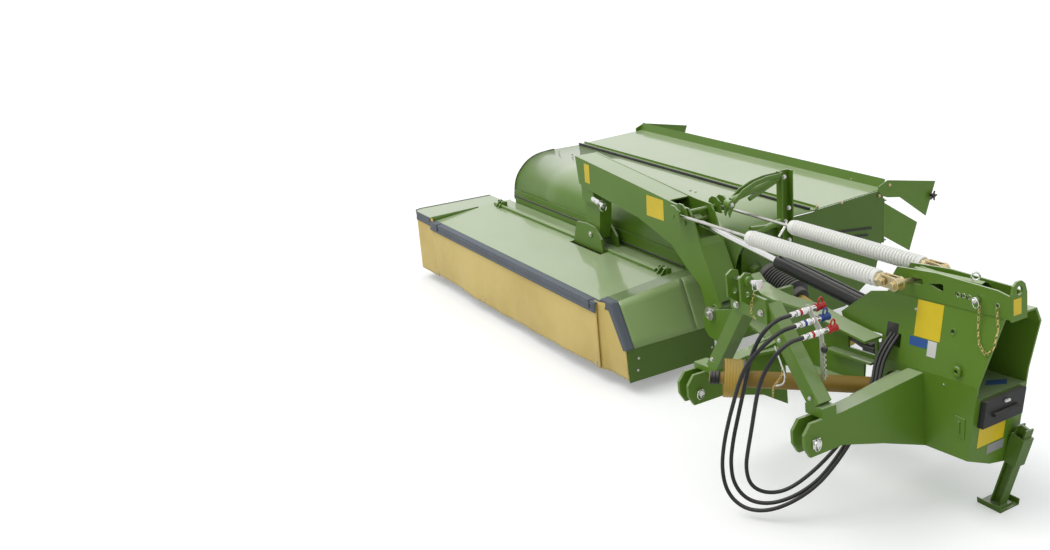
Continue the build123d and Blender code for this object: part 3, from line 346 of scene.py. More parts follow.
class Stock:
    """A mesh being worked, in metres on the scene's axes."""

    def __init__(self):
        self.mesh = bmesh.new()

    def fresh(self, kept):
        """Vertices added since kept."""
        return [v for v in self.mesh.verts if v not in kept]

    def move(self, kept, matrix):
        """Bring what was added since kept to its place."""
        bmesh.ops.transform(self.mesh, matrix=matrix, verts=self.fresh(kept))

    def bar(self, start, end, radius, sides=24, tip=None):
        """Round or many-sided bar, or a cone when the tip has its own radius."""
        kept = set(self.mesh.verts)
        length = (end - start).length
        bmesh.ops.create_cone(self.mesh, cap_ends=True, segments=sides, radius1=radius,
                              radius2=radius if tip is None else tip, depth=length)
        self.move(kept, aim(start, end) @ Matrix.Translation((0, 0, length / 2)))
        return self

    def turned(self, start, end, profile, steps=32):
        """Lathe work about the line from start to end: (distance, radius) pairs in millimetres."""
        kept = set(self.mesh.verts)
        row = [self.mesh.verts.new((r / 1000, 0, d / 1000)) for d, r in profile]
        edges = [self.mesh.edges.new(pair) for pair in zip(row, row[1:])]
        bmesh.ops.spin(self.mesh, geom=row + edges, axis=UP, cent=(0, 0, 0), angle=2 * pi, steps=steps,
                       use_merge=True)
        self.move(kept, aim(start, end))
        bmesh.ops.remove_doubles(self.mesh, verts=self.fresh(kept), dist=1e-6)
        return self

    def block(self, low, high, turn=Matrix()):
        """Box between two corners."""
        kept = set(self.mesh.verts)
        bmesh.ops.create_cube(self.mesh, size=1.0)
        low, high = Vector(low), Vector(high)
        size = Matrix.Diagonal((*(high - low), 1.0))
        self.move(kept, turn @ Matrix.Translation((low + high) / 2) @ size)
        return self

    def plate(self, points, thick):
        """Flat outline in space, made thick along its own normal."""
        face = self.mesh.faces.new([self.mesh.verts.new(p) for p in points])
        face.normal_update()
        way = face.normal * thick
        grown = bmesh.ops.extrude_face_region(self.mesh, geom=[face])["geom"]
        bmesh.ops.translate(self.mesh, vec=way, verts=[v for v in grown if isinstance(v, bmesh.types.BMVert)])
        return self

    def ring(self, centre, normal, radius, wire_r, steps=24, sides=8):
        """Ring of round wire."""
        kept = set(self.mesh.verts)
        bmesh.ops.create_circle(self.mesh, segments=sides, radius=wire_r)
        loop = self.fresh(kept)
        bmesh.ops.rotate(self.mesh, verts=loop, cent=(0, 0, 0), matrix=Matrix.Rotation(pi / 2, 3, "X"))
        bmesh.ops.translate(self.mesh, verts=loop, vec=(radius, 0, 0))
        edges = [e for e in self.mesh.edges if e.verts[0] in loop]
        bmesh.ops.spin(self.mesh, geom=loop + edges, axis=UP, cent=(0, 0, 0), angle=2 * pi, steps=steps,
                       use_merge=True)
        self.move(kept, aim(centre, centre + Vector(normal)))
        return self

    def bolt(self, point, way, size):
        """Hexagon head on a washer; the size is the thread's, in millimetres."""
        way = Vector(way).normalized()
        s = size / 1000
        seat = point + way * s * 0.16
        self.bar(point, seat, s * 1.1, 20)
        self.bar(seat, seat + way * s * 0.6, s * 0.92, 6)
        self.bar(seat + way * s * 0.6, seat + way * s * 0.7, s * 0.8, 12, s * 0.66)
        return self

    def bolts(self, points, way, size):
        """Equal bolts on several points."""
        for point in points:
            self.bolt(point, way, size)
        return self

    def done(self, name, material, body, bevel=0.0, smooth=35.0):
        """Close the mesh and make a piece of it."""
        bmesh.ops.remove_doubles(self.mesh, verts=self.mesh.verts, dist=1e-7)
        bmesh.ops.recalc_face_normals(self.mesh, faces=self.mesh.faces)
        data = bpy.data.meshes.new(name)
        self.mesh.to_mesh(data)
        self.mesh.free()
        return dress(bpy.data.objects.new(name, data), material, body, bevel, smooth)


def wire(name, points, radius, material, body, resolution=6, sides=3):
    """Round rod, cable or hose through a smooth line of control points."""
    data = bpy.data.curves.new(name, "CURVE")
    data.dimensions = "3D"
    data.bevel_depth, data.bevel_resolution, data.use_fill_caps = radius, sides, True
    data.resolution_u = resolution
    line = data.splines.new("NURBS")
    line.points.add(len(points) - 1)
    for spot, point in zip(line.points, points):
        spot.co = (*point, 1.0)
    line.order_u = 3
    line.use_endpoint_u = True
    return dress(bpy.data.objects.new(name, data), material, body)


def spread(name, top, low, columns, rows, thick, shape):
    """Sheet between two lines of points; shape moves its point at (u, w), given the way out."""
    grid = bmesh.new()
    bmesh.ops.create_grid(grid, x_segments=columns, y_segments=rows, size=0.5)
    for v in grid.verts:
        u, w = v.co.x + 0.5, 0.5 - v.co.y
        start, end = along(top, u), along(low, u)
        ahead = along(top, min(u + 0.01, 1.0)) - along(top, max(u - 0.01, 0.0))
        out = ahead.cross(end - start).normalized()
        v.co = start.lerp(end, w) + shape(u, w, out)
    data = bpy.data.meshes.new(name)
    grid.to_mesh(data)
    grid.free()
    piece = bpy.data.objects.new(name, data)
    wall = piece.modifiers.new("wall", "SOLIDIFY")
    wall.thickness, wall.offset = thick, 0.0
    return piece


def skin(name, top, low, columns, rows, thick, material, body, swell=0.0):
    """Bent sheet between two lines of points, given from edge to edge."""
    def bulge(u, w, out):
        return out * swell * sin(pi * w)

    return dress(spread(name, top, low, columns, rows, thick, bulge), material, body, smooth=50)


def chain(name, points, body, link=0.011, wire_r=0.0014):
    """Round-wire chain whose oval links take turns lying flat and on edge."""
    stock = Stock()
    count = max(3, round(length_of(points) / (link * 1.45)))
    for index in range(count):
        share = (index + 0.5) / count
        way = along(points, min(share + 0.02, 1.0)) - along(points, max(share - 0.02, 0.0))
        kept = set(stock.mesh.verts)
        stock.ring(Vector(), UP, link, wire_r, 12, 5)
        lie = way.to_track_quat("X", "Z").to_matrix().to_4x4() @ Matrix.Rotation(index % 2 * pi / 2, 4, "X")
        oval = Matrix.Diagonal((1.0, 0.55, 1.0, 1.0))
        stock.move(kept, Matrix.Translation(along(points, share)) @ lie @ oval)
    return stock.done(name, GOLD, body, smooth=80)


def rounded(line, times=3):
    """The same line with its corners cut off, again and again."""
    for _ in range(times):
        cut = [line[0]]
        for p, q in zip(line, line[1:]):
            cut += [p.lerp(q, 0.25), p.lerp(q, 0.75)]
        line = cut + [line[-1]]
    return line


# ---- hoses ---------------------------------------------------------------------------------------
HOSE_WIDE = 0.019
ROUTES = [
    [(262, 704, 803), (258, 640, 744), (268, 588, 680), (307, 530, 598), (314, 456, 500), (314, 370, 400),
     (308, 280, 300), (286, 182, 206), (222, 90, 130), (138, 12, 84), (56, -52, 92), (8, -94, 168),
     (2, -108, 282), (34, -110, 424), (86, -114, 570), (138, -122, 700), (180, -132, 800),
     (216, -136, 888), (247, -128, 966), (277, -104, 1033)],
    [(284, 704, 803), (280, 640, 744), (291, 588, 680), (330, 528, 596), (338, 454, 500), (337, 366, 398),
     (330, 268, 296), (304, 164, 196), (234, 66, 112), (142, -12, 56), (48, -72, 52), (-24, -112, 116),
     (-34, -134, 246), (6, -144, 404), (66, -152, 556), (124, -160, 680), (172, -168, 776),
     (214, -168, 852), (258, -150, 922), (303, -108, 991)],
    [(240, 704, 803), (236, 640, 744), (245, 588, 678), (284, 534, 594), (290, 464, 494), (280, 386, 394),
     (254, 298, 300), (224, 208, 222), (186, 122, 160), (148, 56, 134), (108, -12, 146), (82, -60, 196),
     (76, -74, 284), (104, -80, 384), (146, -92, 490), (196, -110, 612), (244, -128, 722),
     (286, -136, 812), (326, -130, 887), (358, -105, 953)],
]
LENGTHS = [2.321, 2.424, 2.090]
PORTS = [level(333, 30, 1054), level(361, 30, 1010), level(408, 30, 968)]
CAP_COLOURS = [RED, BLUE, RED]


def coupler(number, mouth):
    """Screwed end of a hose with the quick coupler that it carries."""
    fitting = Stock()
    fitting.turned(mouth - BACK * 0.002, mouth + BACK, [
        (0, 0), (0, 12.5), (3, 13.5), (22, 13.5), (26, 11), (30, 11)], 24)
    fitting.bar(mouth + BACK * 0.030, mouth + BACK * 0.046, 0.0155, 6)
    fitting.turned(mouth + BACK * 0.044, mouth + BACK, [
        (0, 0), (0, 12.5), (18, 12.5), (20, 14.6), (46, 14.6), (48, 13), (52, 13), (54, 15.6), (78, 15.6),
        (81, 14), (96, 14), (98, 12), (104, 12), (104, 0)], 24)
    fitting.bar(mouth + BACK * 0.066, mouth + BACK * 0.084, 0.0172, 6)
    return fitting.done("coupler_%d" % number, CHROME, "headstock", 0.0006)


def coupler_cap(number, mouth, colour):
    """Coloured band and the dust cap with its pull ring."""
    cap = Stock()
    cap.turned(mouth + BACK * 0.046, mouth + BACK, [
        (0, 10), (0, 14.6), (2, 15.4), (12, 15.4), (14, 14.6), (14, 10), (0, 10)], 24)
    cap.turned(mouth + BACK * 0.142, mouth + BACK, [
        (0, 11), (0, 17), (3, 19), (7, 19), (9, 16.5), (40, 15.5), (43, 18), (50, 18), (53, 15), (53, 0)], 24)
    cap.ring(mouth + Vector((0.004, 0.168, 0.024)), (1, 0.35, 0), 0.019, 0.0042)
    return cap.done("coupler_cap_%d" % number, colour, "headstock", 0.0005)


def hoses():
    """Three hydraulic hoses from the housing to the couplers parked in the rack."""
    for number, (points, mouth, length, colour) in enumerate(zip(ROUTES, PORTS, LENGTHS, CAP_COLOURS), 1):
        run = [ground(*p) for p in points] + [mouth - BACK * 0.076, mouth, mouth + BACK * 0.05]
        hose = wire("rubber_hose_%d" % number, run, HOSE_WIDE / 2, HOSE, "headstock", resolution=8, sides=4)
        fitting = coupler(number, mouth)
        cap = coupler_cap(number, mouth, colour)
        if number == 1:
            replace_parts(fitting, "hose_couplers")
        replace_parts(hose, "hose_%d" % number)


# ---- curtains ------------------------------------------------------------------------------------
HEM_Z = 92
DECK_LEFT, DECK_RIGHT = -4290, -1772    # ends of the front guard's edge


def curtain(name, node, top, low, columns, swell, body, flare=0.0):
    """Sheet hung from the line of its top edge to the line of its hem, with soft waves."""
    width, hem, drop = length_of(top), length_of(low), (low[0] - top[0]).length

    def waves(u, w, out):
        wave = (sin(u * width * 5.3 + 0.7) * 0.5 + sin(u * width * 13.1 + 2.0) * 0.3
                + sin(u * width * 29.0 + w * 2.0) * 0.12)
        move = out * wave * swell * (0.12 + w) ** 1.2
        move.x += flare * u ** 4 * min(w / 0.55, (1 - w) / 0.45)
        move.z += swell * 0.9 * w ** 3 * sin(u * width * 3.1 + 1.0)
        return move

    piece = dress(spread(name, top, low, columns, 26, 0.003, waves), CANVAS, body, smooth=60)
    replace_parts(piece, node)


def curtains():
    """Front curtain, the one bent round the outer corner, and the narrow one beside the inner guard."""
    front = [(-4287, 229.5), (-1776, 229.5)]
    curtain("front_cloth", "front_curtain", [ground(x, y, 524) for x, y in front],
            [ground(x, y, HEM_Z) for x, y in front], 150, 0.011, "front_guard")
    inner = [(-1806, 240), (-1772, 242), (-1740, 256), (-1700, 266)]
    top, low = inner + [(-1653, 267.7)], inner + [(-1506, 267.7)]
    curtain("inner_cloth", "inner_curtain", [ground(x, y, 535) for x, y in top],
            [ground(x, y, HEM_Z) for x, y in low], 22, 0.004, "mower", flare=0.056)
    outer = [(-4632, 905), (-4632, 302), (-4628, 282), (-4613, 249), (-4590, 238), (-4560, 230), (-4302, 234),
             (-4262, 238)]
    curtain("outer_cloth", "outer_curtain", [ground(x, y, 554) for x, y in outer],
            [ground(x, y, HEM_Z) for x, y in outer], 90, 0.005, "outer_guard")


# ---- relief springs ------------------------------------------------------------------------------
SPRING_EYE, TRUNNION = Vector((-1470, 1060)), Vector((322, 1082))    # X and Z on the ground's axes
SPRING_WAY = (SPRING_EYE - TRUNNION).normalized()
SPRING_ROWS = {"front": 650, "rear": 950}
COIL_FROM, COIL_TO = 130, 1097
TURNS, TURN_STEPS, WIRE_R, COIL_R = 46, 22, 0.0096, 0.034


def on_spring(distance, y):
    """Point on a spring's line, so many millimetres from the trunnion."""
    spot = TRUNNION + SPRING_WAY * distance
    return ground(spot.x, y, spot.y)


def spring_coil(side, y):
    """Close-wound helix, swept by a circle of wire."""
    start, end = on_spring(COIL_FROM, y), on_spring(COIL_TO, y)
    coil = Stock()
    bmesh.ops.create_circle(coil.mesh, segments=8, radius=WIRE_R)
    bmesh.ops.rotate(coil.mesh, verts=coil.mesh.verts, cent=(0, 0, 0), matrix=Matrix.Rotation(pi / 2, 3, "X"))
    bmesh.ops.translate(coil.mesh, verts=coil.mesh.verts, vec=(COIL_R, 0, WIRE_R))
    rise = (end - start).length / TURNS / TURN_STEPS
    bmesh.ops.spin(coil.mesh, geom=coil.mesh.verts[:] + coil.mesh.edges[:], axis=UP, cent=(0, 0, 0),
                   angle=2 * pi * (TURNS - 1), dvec=(0, 0, rise), steps=(TURNS - 1) * TURN_STEPS)
    bmesh.ops.transform(coil.mesh, matrix=aim(start, end), verts=coil.mesh.verts)
    bmesh.ops.holes_fill(coil.mesh, edges=[e for e in coil.mesh.edges if e.is_boundary])
    return coil.done("spring_coil_" + side, WHITE, "spring_coils", smooth=60)


def spring_fork(side, y):
    """Threaded plug, cheeks and bolts that hold a spring to the trunnion."""
    fork = Stock()
    fork.turned(on_spring(66, y), on_spring(COIL_FROM, y), [
        (0, 0), (0, 24), (22, 24), (30, 34), (54, 36), (54, 0)], 6)
    fork.bar(on_spring(0, y - 24), on_spring(0, y + 24), 0.0285, 32)
    half = UP * 0.030
    for out in (-1, 1):
        fork.bolt(on_spring(0, y + out * 27), BACK * out, 20)
        fork.bar(on_spring(0, y + out * 15), on_spring(0, y + out * 27), 0.032, 28)
        near, far = on_spring(0, y + out * 15), on_spring(96, y + out * 15)
        fork.plate([near + half, near - half, far - half, far + half], 0.010)
        fork.bolt(on_spring(78, y + out * 25), BACK * out, 19)
    fork.done("spring_eye_" + side, ZINC, "spring_coils", 0.001)


def springs():
    """Two close-wound springs with tapered end plugs and forks."""
    for side, y in SPRING_ROWS.items():
        coil = spring_coil(side, y)
        if side == "front":
            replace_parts(coil, "spring_coils")
        plug = Stock()
        plug.turned(on_spring(118, y), on_spring(COIL_FROM, y), [
            (0, 0), (0, 38), (4, 41), (16, 41), (26, 25), (40, 25), (40, 0)])
        plug.turned(on_spring(1072, y), on_spring(1200, y), [
            (0, 25), (0, 40), (24, 40), (34, 37), (40, 30), (44, 16), (60, 16), (60, 9.6), (0, 9.6), (0, 25)])
        plug.done("spring_plugs_" + side, WHITE, "spring_coils", 0.0008)
        spring_fork(side, y)


# ---- shaft to the tractor ------------------------------------------------------------------------
PTO_END, PTO_IN = Vector((-190, -60, 660)), Vector((405, 790, 515))    # on the headstock's axes
PTO_LONG = (PTO_IN - PTO_END).length


def on_pto(distance):
    """Point on the shaft's line, so many millimetres from its free end."""
    return level(*(PTO_END + (PTO_IN - PTO_END) * (distance / PTO_LONG)))


def pto_coupling():
    """Ribbed collar, splined ring, and the two yokes with their cross."""
    collar = [(0, 18), (0, 30), (4, 33), (10, 33), (12, 30), (18, 30), (20, 33), (26, 33), (28, 30), (34, 30),
              (36, 33), (42, 33), (46, 30), (46, 18), (0, 18)]
    Stock().turned(on_pto(-4), on_pto(80), collar, 40).done("coupling_collar", RUBBER, "pto", 0.0006)
    spline = [(0, 17.6), (0, 24), (3, 25), (12, 25), (12, 17.6), (0, 17.6)]
    Stock().turned(on_pto(-5), on_pto(80), spline, 36).done("coupling_ring", YELLOW, "pto", 0.0006)
    yoke = Stock()
    start, end = on_pto(46), on_pto(80)
    yoke.turned(start, end, [(0, 0), (0, 26), (8, 28), (18, 34), (26, 34), (30, 20), (30, 0)], 28)
    rod_end = PTO_LONG - 86
    yoke.turned(start, end, [
        (78, 0), (78, 20), (82, 34), (92, 34), (104, 26), (rod_end, 24), (rod_end, 0)], 28)
    turn = aim(start, end)
    for side in (-1, 1):
        yoke.block((side * 0.028 - 0.006, -0.019, 0.022), (side * 0.028 + 0.006, 0.019, 0.058), turn)
        yoke.block((-0.019, side * 0.028 - 0.006, 0.048), (0.019, side * 0.028 + 0.006, 0.084), turn)
        yoke.bar(turn @ Vector((side * 0.018, 0, 0.054)), turn @ Vector((side * 0.040, 0, 0.054)), 0.019)
        yoke.bar(turn @ Vector((0, side * 0.018, 0.054)), turn @ Vector((0, side * 0.040, 0.054)), 0.019)
    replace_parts(yoke.done("coupling_yokes", DARK_YELLOW, "pto", 0.0015), "pto_shaft")


def pto_guard():
    """Ribbed cone with its rubber rim, and the tube behind it."""
    shell = [(64, 88), (64, 91.5)]
    for index in range(6):
        at = 68 + 14 * index
        shell += [(at, 91.5), (at + 2, 93), (at + 5, 93), (at + 7, 91.5)]
    shell += [(152, 91), (160, 72), (168, 46), (168, 41), (158, 60), (148, 87), (64, 88)]
    cone = Stock().turned(on_pto(0), on_pto(100), shell, 56).done("cone_shell", YELLOW, "headstock")
    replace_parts(cone, "pto_guard")
    end = PTO_LONG - 60
    tube = [(166, 36), (166, 41), (230, 41), (232, 43), (252, 43), (254, 41), (end, 41), (end, 36), (166, 36)]
    Stock().turned(on_pto(0), on_pto(100), tube, 40).done("guard_tube", DARK_YELLOW, "headstock", 0.0006)
    rim = [(0, 72), (0, 92), (3, 95), (10, 95), (13, 91), (13, 72), (0, 72)]
    Stock().turned(on_pto(152), on_pto(252), rim, 56).done("cone_rim", RUBBER, "headstock")


# ---- shaft between the gearboxes -----------------------------------------------------------------
SHAFT_OUT, SHAFT_IN, SHAFT_Y = Vector((-250, 480)), Vector((-1130, 670)), 1050
SHAFT_LONG = (SHAFT_IN - SHAFT_OUT).length


def on_shaft(distance):
    """Point on the shaft's line, so many millimetres from the headstock's end."""
    spot = SHAFT_OUT + (SHAFT_IN - SHAFT_OUT) * (distance / SHAFT_LONG)
    return ground(spot.x, SHAFT_Y, spot.y)


def drive_shaft():
    """Telescopic shaft: folded bellows, inner tube, outer guard and the yoke at the headstock."""
    start, end = on_shaft(0), on_shaft(100)
    folds = [(596, 30), (596, 58), (604, 62), (636, 62), (640, 70), (646, 94)]
    for index in range(10):
        at = 652 + 20.5 * index
        folds += [(at, 95.5), (at + 6, 95.5), (at + 9.5, 82), (at + 13, 82), (at + 17, 92)]
    folds += [(858, 96), (864, 99), (890, 99), (896, 95), (896, 74), (860, 70), (640, 50), (596, 30)]
    bellows = Stock().turned(start, end, folds, 48).done("shaft_bellows_folds", RUBBER, "shaft_inner", 0.001)
    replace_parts(bellows, "shaft_bellows")
    tube = [(330, 0), (330, 28), (610, 28), (610, 0)]
    Stock().turned(start, end, tube).done("shaft_inner_tube", YELLOW, "shaft_inner", 0.0006)
    cup = [(150, 36), (150, 69), (154, 70), (160, 70), (164, 66), (172, 66), (176, 60), (182, 60), (186, 52),
           (192, 44), (200, 42), (465, 42), (465, 34), (200, 34), (150, 36)]
    guard = Stock().turned(start, end, cup, 48).done("shaft_outer_guard", YELLOW, "shaft_outer", 0.0008)
    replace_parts(guard, "shaft_guard")
    yoke = Stock().turned(start, end, [(38, 0), (38, 22), (60, 31), (150, 31), (150, 0)])
    turn = aim(on_shaft(-6), on_shaft(60))
    for side in (-1, 1):
        yoke.block((-0.024, side * 0.022 - 0.007, 0.0), (0.024, side * 0.022 + 0.007, 0.054), turn)
    yoke.bar(start - BACK * 0.052, start + BACK * 0.052, 0.0118)
    yoke.done("shaft_yoke", CAST, "shaft_outer", 0.002)


# ---- mower: edge strips, seams and slants --------------------------------------------------------
EDGE_X = (DECK_LEFT, DECK_RIGHT)
STRIP_THICK = 0.005
STITCHES, STITCH_PITCH = 198, 12.5
CORNER = [(-4636, 905), (-4636, 302), (-4632, 280), (-4616, 246), (-4590, 233), (-4560, 225), (-4298, 224)]


def edge_strips():
    """Rubber strips along the guards' edges, with tabs and stitches on the front one."""
    front = [ground(x, 222, 527) for x in EDGE_X]
    skin("edge_strip_front", front, [ground(x, 219, 466) for x in EDGE_X], 60, 6, STRIP_THICK, STRIP,
         "front_guard", 0.003)
    skin("edge_strip_fold", [ground(x, 268, 531.5) for x in EDGE_X], front, 60, 4, 0.004, STRIP,
         "front_guard", 0.0015)
    tabs = Stock()
    for x in (-4210, -1900):
        tabs.block(ground(x, 214, 480), ground(x + 62, 219, 527))
        tabs.block(ground(x + 4, 214, 527), ground(x + 58, 262, 534))
    tabs.done("edge_strip_tabs", STRIP, "front_guard", 0.002)
    stitches = Stock()
    for index in range(STITCHES):
        x = -4272 + index * STITCH_PITCH
        for z in (478, 516):
            stitches.block(ground(x, 215.6, z - 0.8), ground(x + STITCH_PITCH * 0.6, 217.4, z + 0.8))
    stitches.done("strip_stitches", THREAD, "front_guard")
    skin("edge_strip_corner", [ground(x, y, 560) for x, y in CORNER], [ground(x, y, 494) for x, y in CORNER],
         80, 6, STRIP_THICK, STRIP, "outer_guard", 0.003)
    edge = [ground(-1768, 262, 547), ground(-1652, 262, 552), ground(-1500, 262, 290)]
    behind = [ground(-1768, 312, 551), ground(-1650, 314, 552), ground(-1498, 314, 290)]
    below = [ground(-1768, 260, 492), ground(-1676, 260, 500), ground(-1536, 260, 280)]
    skin("edge_strip_inner", behind, edge, 48, 4, STRIP_THICK, STRIP, "mower", 0.001)
    skin("edge_strip_end", edge, below, 48, 5, STRIP_THICK, STRIP, "mower", 0.002)


def deck_fittings():
    """Seam cord, the hinge rail in two halves round the hanger, and the guards' rivets and bolts."""
    seam = [(-4160, 640), (-2620, 636), (-2570, 636), (-2552, 608), (-2500, 606), (-1790, 604)]
    wire("seam_cord", [ground(x, 901, z) for x, z in seam], 0.0065, RUBBER, "mower", resolution=4, sides=2)
    rail = Stock()
    for left, right in ((-4230, -2790), (-2480, -1905)):
        rail.bar(ground(left, 758, 588), ground(right, 758, 588), 0.013, 16)
    for x in (-3900, -3350, -2850, -2420, -2100):
        rail.block(ground(x - 18, 742, 572), ground(x + 18, 770, 584))
    rail.done("deck_rail", GREEN, "front_guard", 0.001)
    rivets = [ground(x, 227, z) for x, z in ((-4240, 128), (-1812, 128), (-3400, 124), (-2600, 124))]
    Stock().bolts(rivets, -BACK, 7).done("curtain_rivets", STEEL, "front_guard", 0.0004)
    side = [ground(-1499, y, z) for y, z in ((330, 150), (340, 225), (880, 150), (880, 240))]
    Stock().bolts(side, RIGHT, 8).done("inner_guard_bolts", STEEL, "mower", 0.0004)


def slants():
    """Sloping covers of the inner guard, and the step beside the outer guard."""
    lines = (("inner_slant", 12, [(300, 551), (540, 573), (779, 596)]),
             ("inner_slant_rear", 6, [(779, 596), (903, 596)]))
    for name, columns, line in lines:
        top = [ground(-1650, y, z) for y, z in line]
        foot = [ground(-1502, y, 291) for y, z in line]
        # The covers take the paler green of painted top light.
        skin(name, top, foot, columns, 6, 0.002, GREEN_SLANT_LIT, "mower")
    skin("outer_step", [ground(-4296, 240, 561), ground(-4296, 640, 572)],
         [ground(-4294, 240, 500), ground(-4294, 640, 540)], 6, 2, 0.002, GREEN, "outer_guard")


# ---- mower: hood and adjusting post --------------------------------------------------------------
HOOD_PROFILE = [(906, 611), (912, 695), (933, 777), (986, 852), (1067, 915), (1168, 946), (1292, 951),
                (1575, 952)]
HOOD_LEFT, HOOD_RIGHT = -4165, -1275


def hood():
    """Rolled sheet over the conditioner with its edge seal, top bolts and the rear seal."""
    left, right = [rounded([ground(x, y, z) for y, z in HOOD_PROFILE]) for x in (HOOD_LEFT, HOOD_RIGHT)]
    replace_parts(skin("hood_sheet", left, right, 90, 4, 0.004, GREEN, "mower"), "hood")
    edge = [ground(HOOD_LEFT - 2, y, z + 2) for y, z in HOOD_PROFILE[:-1]]
    wire("hood_edge", edge, 0.006, RUBBER, "mower", resolution=8, sides=2)
    seal = Stock()
    for index in range(5):
        x = -4160 + index * 574
        seal.block(ground(x, 1517, 953), ground(x + 568, 1529, 972))
    seal.done("rear_seal", RUBBER, "mower", 0.002)
    tops = Stock()
    tops.bolts([ground(x, y, 953) for x, y in ((-4050, 1270), (-3870, 1290), (-3790, 1292), (-2250, 1290),
                                               (-2190, 1290), (-3000, 1290))], UP, 8)
    tops.bolts([ground(x, 1548, 961) for x in range(-4100, -1300, 230)], UP, 5)
    tops.done("hood_bolts", STEEL, "mower", 0.0005)


GUIDE_X = -1242    # middle of the adjusting post's linkage
GUIDE_ARC = [(838, 1080), (875, 1148), (950, 1202), (1040, 1235), (1130, 1250), (1236, 1252)]


def adjusting_post():
    """Pair of curved guide straps, the straight braces, their bolts and the lower link."""
    for number, x in enumerate((GUIDE_X - 20, GUIDE_X + 20), 1):
        skin("guide_strap_%d" % number, [ground(x, y, z) for y, z in GUIDE_ARC],
             [ground(x, y + 10, z - 26) for y, z in GUIDE_ARC], 40, 3, 0.007, GREEN, "mower")
    braces = Stock()
    braces.bar(ground(GUIDE_X, 874, 1146), ground(GUIDE_X, 1246, 1224), 0.018)
    braces.bar(ground(GUIDE_X, 985, 906), ground(GUIDE_X, 1262, 952), 0.020)
    braces.bar(ground(GUIDE_X - 26, 862, 1128), ground(GUIDE_X + 26, 862, 1128), 0.026, 28)
    braces.done("guide_brace", GREEN, "mower", 0.001)
    spots = [(1258, 1226), (1290, 1030), (1262, 950), (1290, 828), (862, 1128)]
    pins = Stock().bolts([ground(GUIDE_X + 24, y, z) for y, z in spots], RIGHT, 13)
    pins.done("guide_bolts", STEEL, "mower", 0.0006)
    link = Stock().bar(ground(GUIDE_X + 36, 1196, 868), ground(GUIDE_X + 36, 1262, 940), 0.009, 12)
    link.done("guide_link", CHROME, "mower", 0.001)


# ---- headstock: bolts, pins and chains -----------------------------------------------------------
FRONT_LEAN, SIDE_LEAN = 0.2267, 0.184    # how far the housing's walls slope for each unit of height
PROUD = 0.4                              # clearance of what is stuck on, mm


def on_slope(x, z, lift=PROUD):
    """Point on the sloping front of the housing, a little proud of it."""
    return level(x, 672 + (z - 658) * FRONT_LEAN - lift, z)


def on_side(y, z):
    """Point on the housing's right side, a little proud of it."""
    return level(743 + (z - 283) * SIDE_LEAN + PROUD, y, z)


def headstock_bolts():
    """Bolt heads on the mast, the cross beam and the housing's front."""
    stock = Stock()
    for x, y, z, size in ((-62, 34, 1024, 15), (118, 34, 1020, 15), (232, 38, 915, 9), (419, 38, 689, 9),
                          (-211, -26, 735, 10), (30, 34, 1060, 10), (612, 671, 622, 5)):
        stock.bolt(level(x, y, z), -BACK, size)
    stock.bolt(on_slope(396, 925), (0, -0.975, 0.22), 7)
    stock.done("headstock_bolts", STEEL, "headstock", 0.0006)


def housing_bosses():
    """Bosses, a small plate and its rib on the housing's front, and dark pieces in its openings that paint
    the shade inside them.
    """
    low_boss, high_boss = level(695, 672, 707), on_slope(632, 867)
    bosses = Stock()
    bosses.turned(low_boss, level(695, 600, 707), [
        (0, 10), (0, 24), (10, 24), (12, 22), (12, 10), (0, 10)], 28)
    bosses.turned(high_boss, high_boss + Vector((0, -1, 0.22)), [
        (0, 11), (0, 19), (2, 19), (3, 18), (3, 11), (0, 11)], 28)
    bosses.block((0, -0.0045, 0), (0.062, 0, 0.100), Matrix.Translation(level(668, 672, 392)))
    bosses.block((0, -0.0065, 0), (0.012, 0, 0.058), Matrix.Translation(level(694, 668, 412)))
    bosses.done("housing_bosses", GREEN, "headstock", 0.003)
    # Dark discs in the bosses' bores and a dark sheet on the slope: painted shade in the openings.
    hole_shade = Stock()
    hole_shade.bar(on_slope(632, 867, 0.0), on_slope(632, 867, 0.8), 0.0115)
    hole_shade.bar(low_boss, level(695, 669, 707), 0.0105)
    hole_shade.plate([on_slope(x, z, 0.5) for x, z in ((226, 836), (300, 836), (300, 762), (226, 762))], 0.0008)
    hole_shade.done("painted_opening_shade", RUBBER, "headstock")


def hitch_pins():
    """Grip and chain of the upper pin, the hook rod with its chain, and the lower linch pins."""
    grip = Stock()
    grip.turned(level(72, 20, 1160), level(150, 20, 1160), [
        (0, 13), (22, 13), (23, 11), (27, 11), (28, 15), (40, 15), (41, 11), (46, 11), (48, 17), (56, 17),
        (58, 9), (58, 0)], 28)
    grip.ring(level(112, 20, 1150), (1, 0.2, 0), 0.024, 0.0022, sides=6)
    grip.done("upper_pin_grip", CHROME, "headstock", 0.0005)
    hang = [(112, 8, 1128), (100, 0, 1070), (84, 4, 1020), (96, 18, 990)]
    chain("upper_pin_chain", [level(*p) for p in hang], "headstock")
    hook = [(197, 881), (225, 818), (250, 769), (255, 736), (227, 698), (184, 687)]
    wire("hook_rod", [level(x, 40, z) for x, z in hook], 0.005, CHROME, "headstock")
    links = [(266, 800), (262, 765), (228, 728), (188, 684), (182, 640)]
    chain("hook_chain", [level(x, 20, z) for x, z in links], "headstock")
    clips = Stock()
    for x, side in ((-372, 1), (372, -1), (-505, -1), (505, 1)):
        clips.turned(level(x - side * 14, 0, PIN_Z), level(x, 0, PIN_Z), [
            (0, 0), (0, 13.4), (18, 13.4), (20, 11), (20, 0)], 24)
        clips.ring(level(x, 0, 505), (side, 0.3, 0), 0.026, 0.0028, sides=6)
        clips.bar(level(x - side * 2, 0, 530), level(x - side * 2, 0, 488), 0.0045, 10)
    clips.done("linch_pins", CHROME, "headstock", 0.0004)


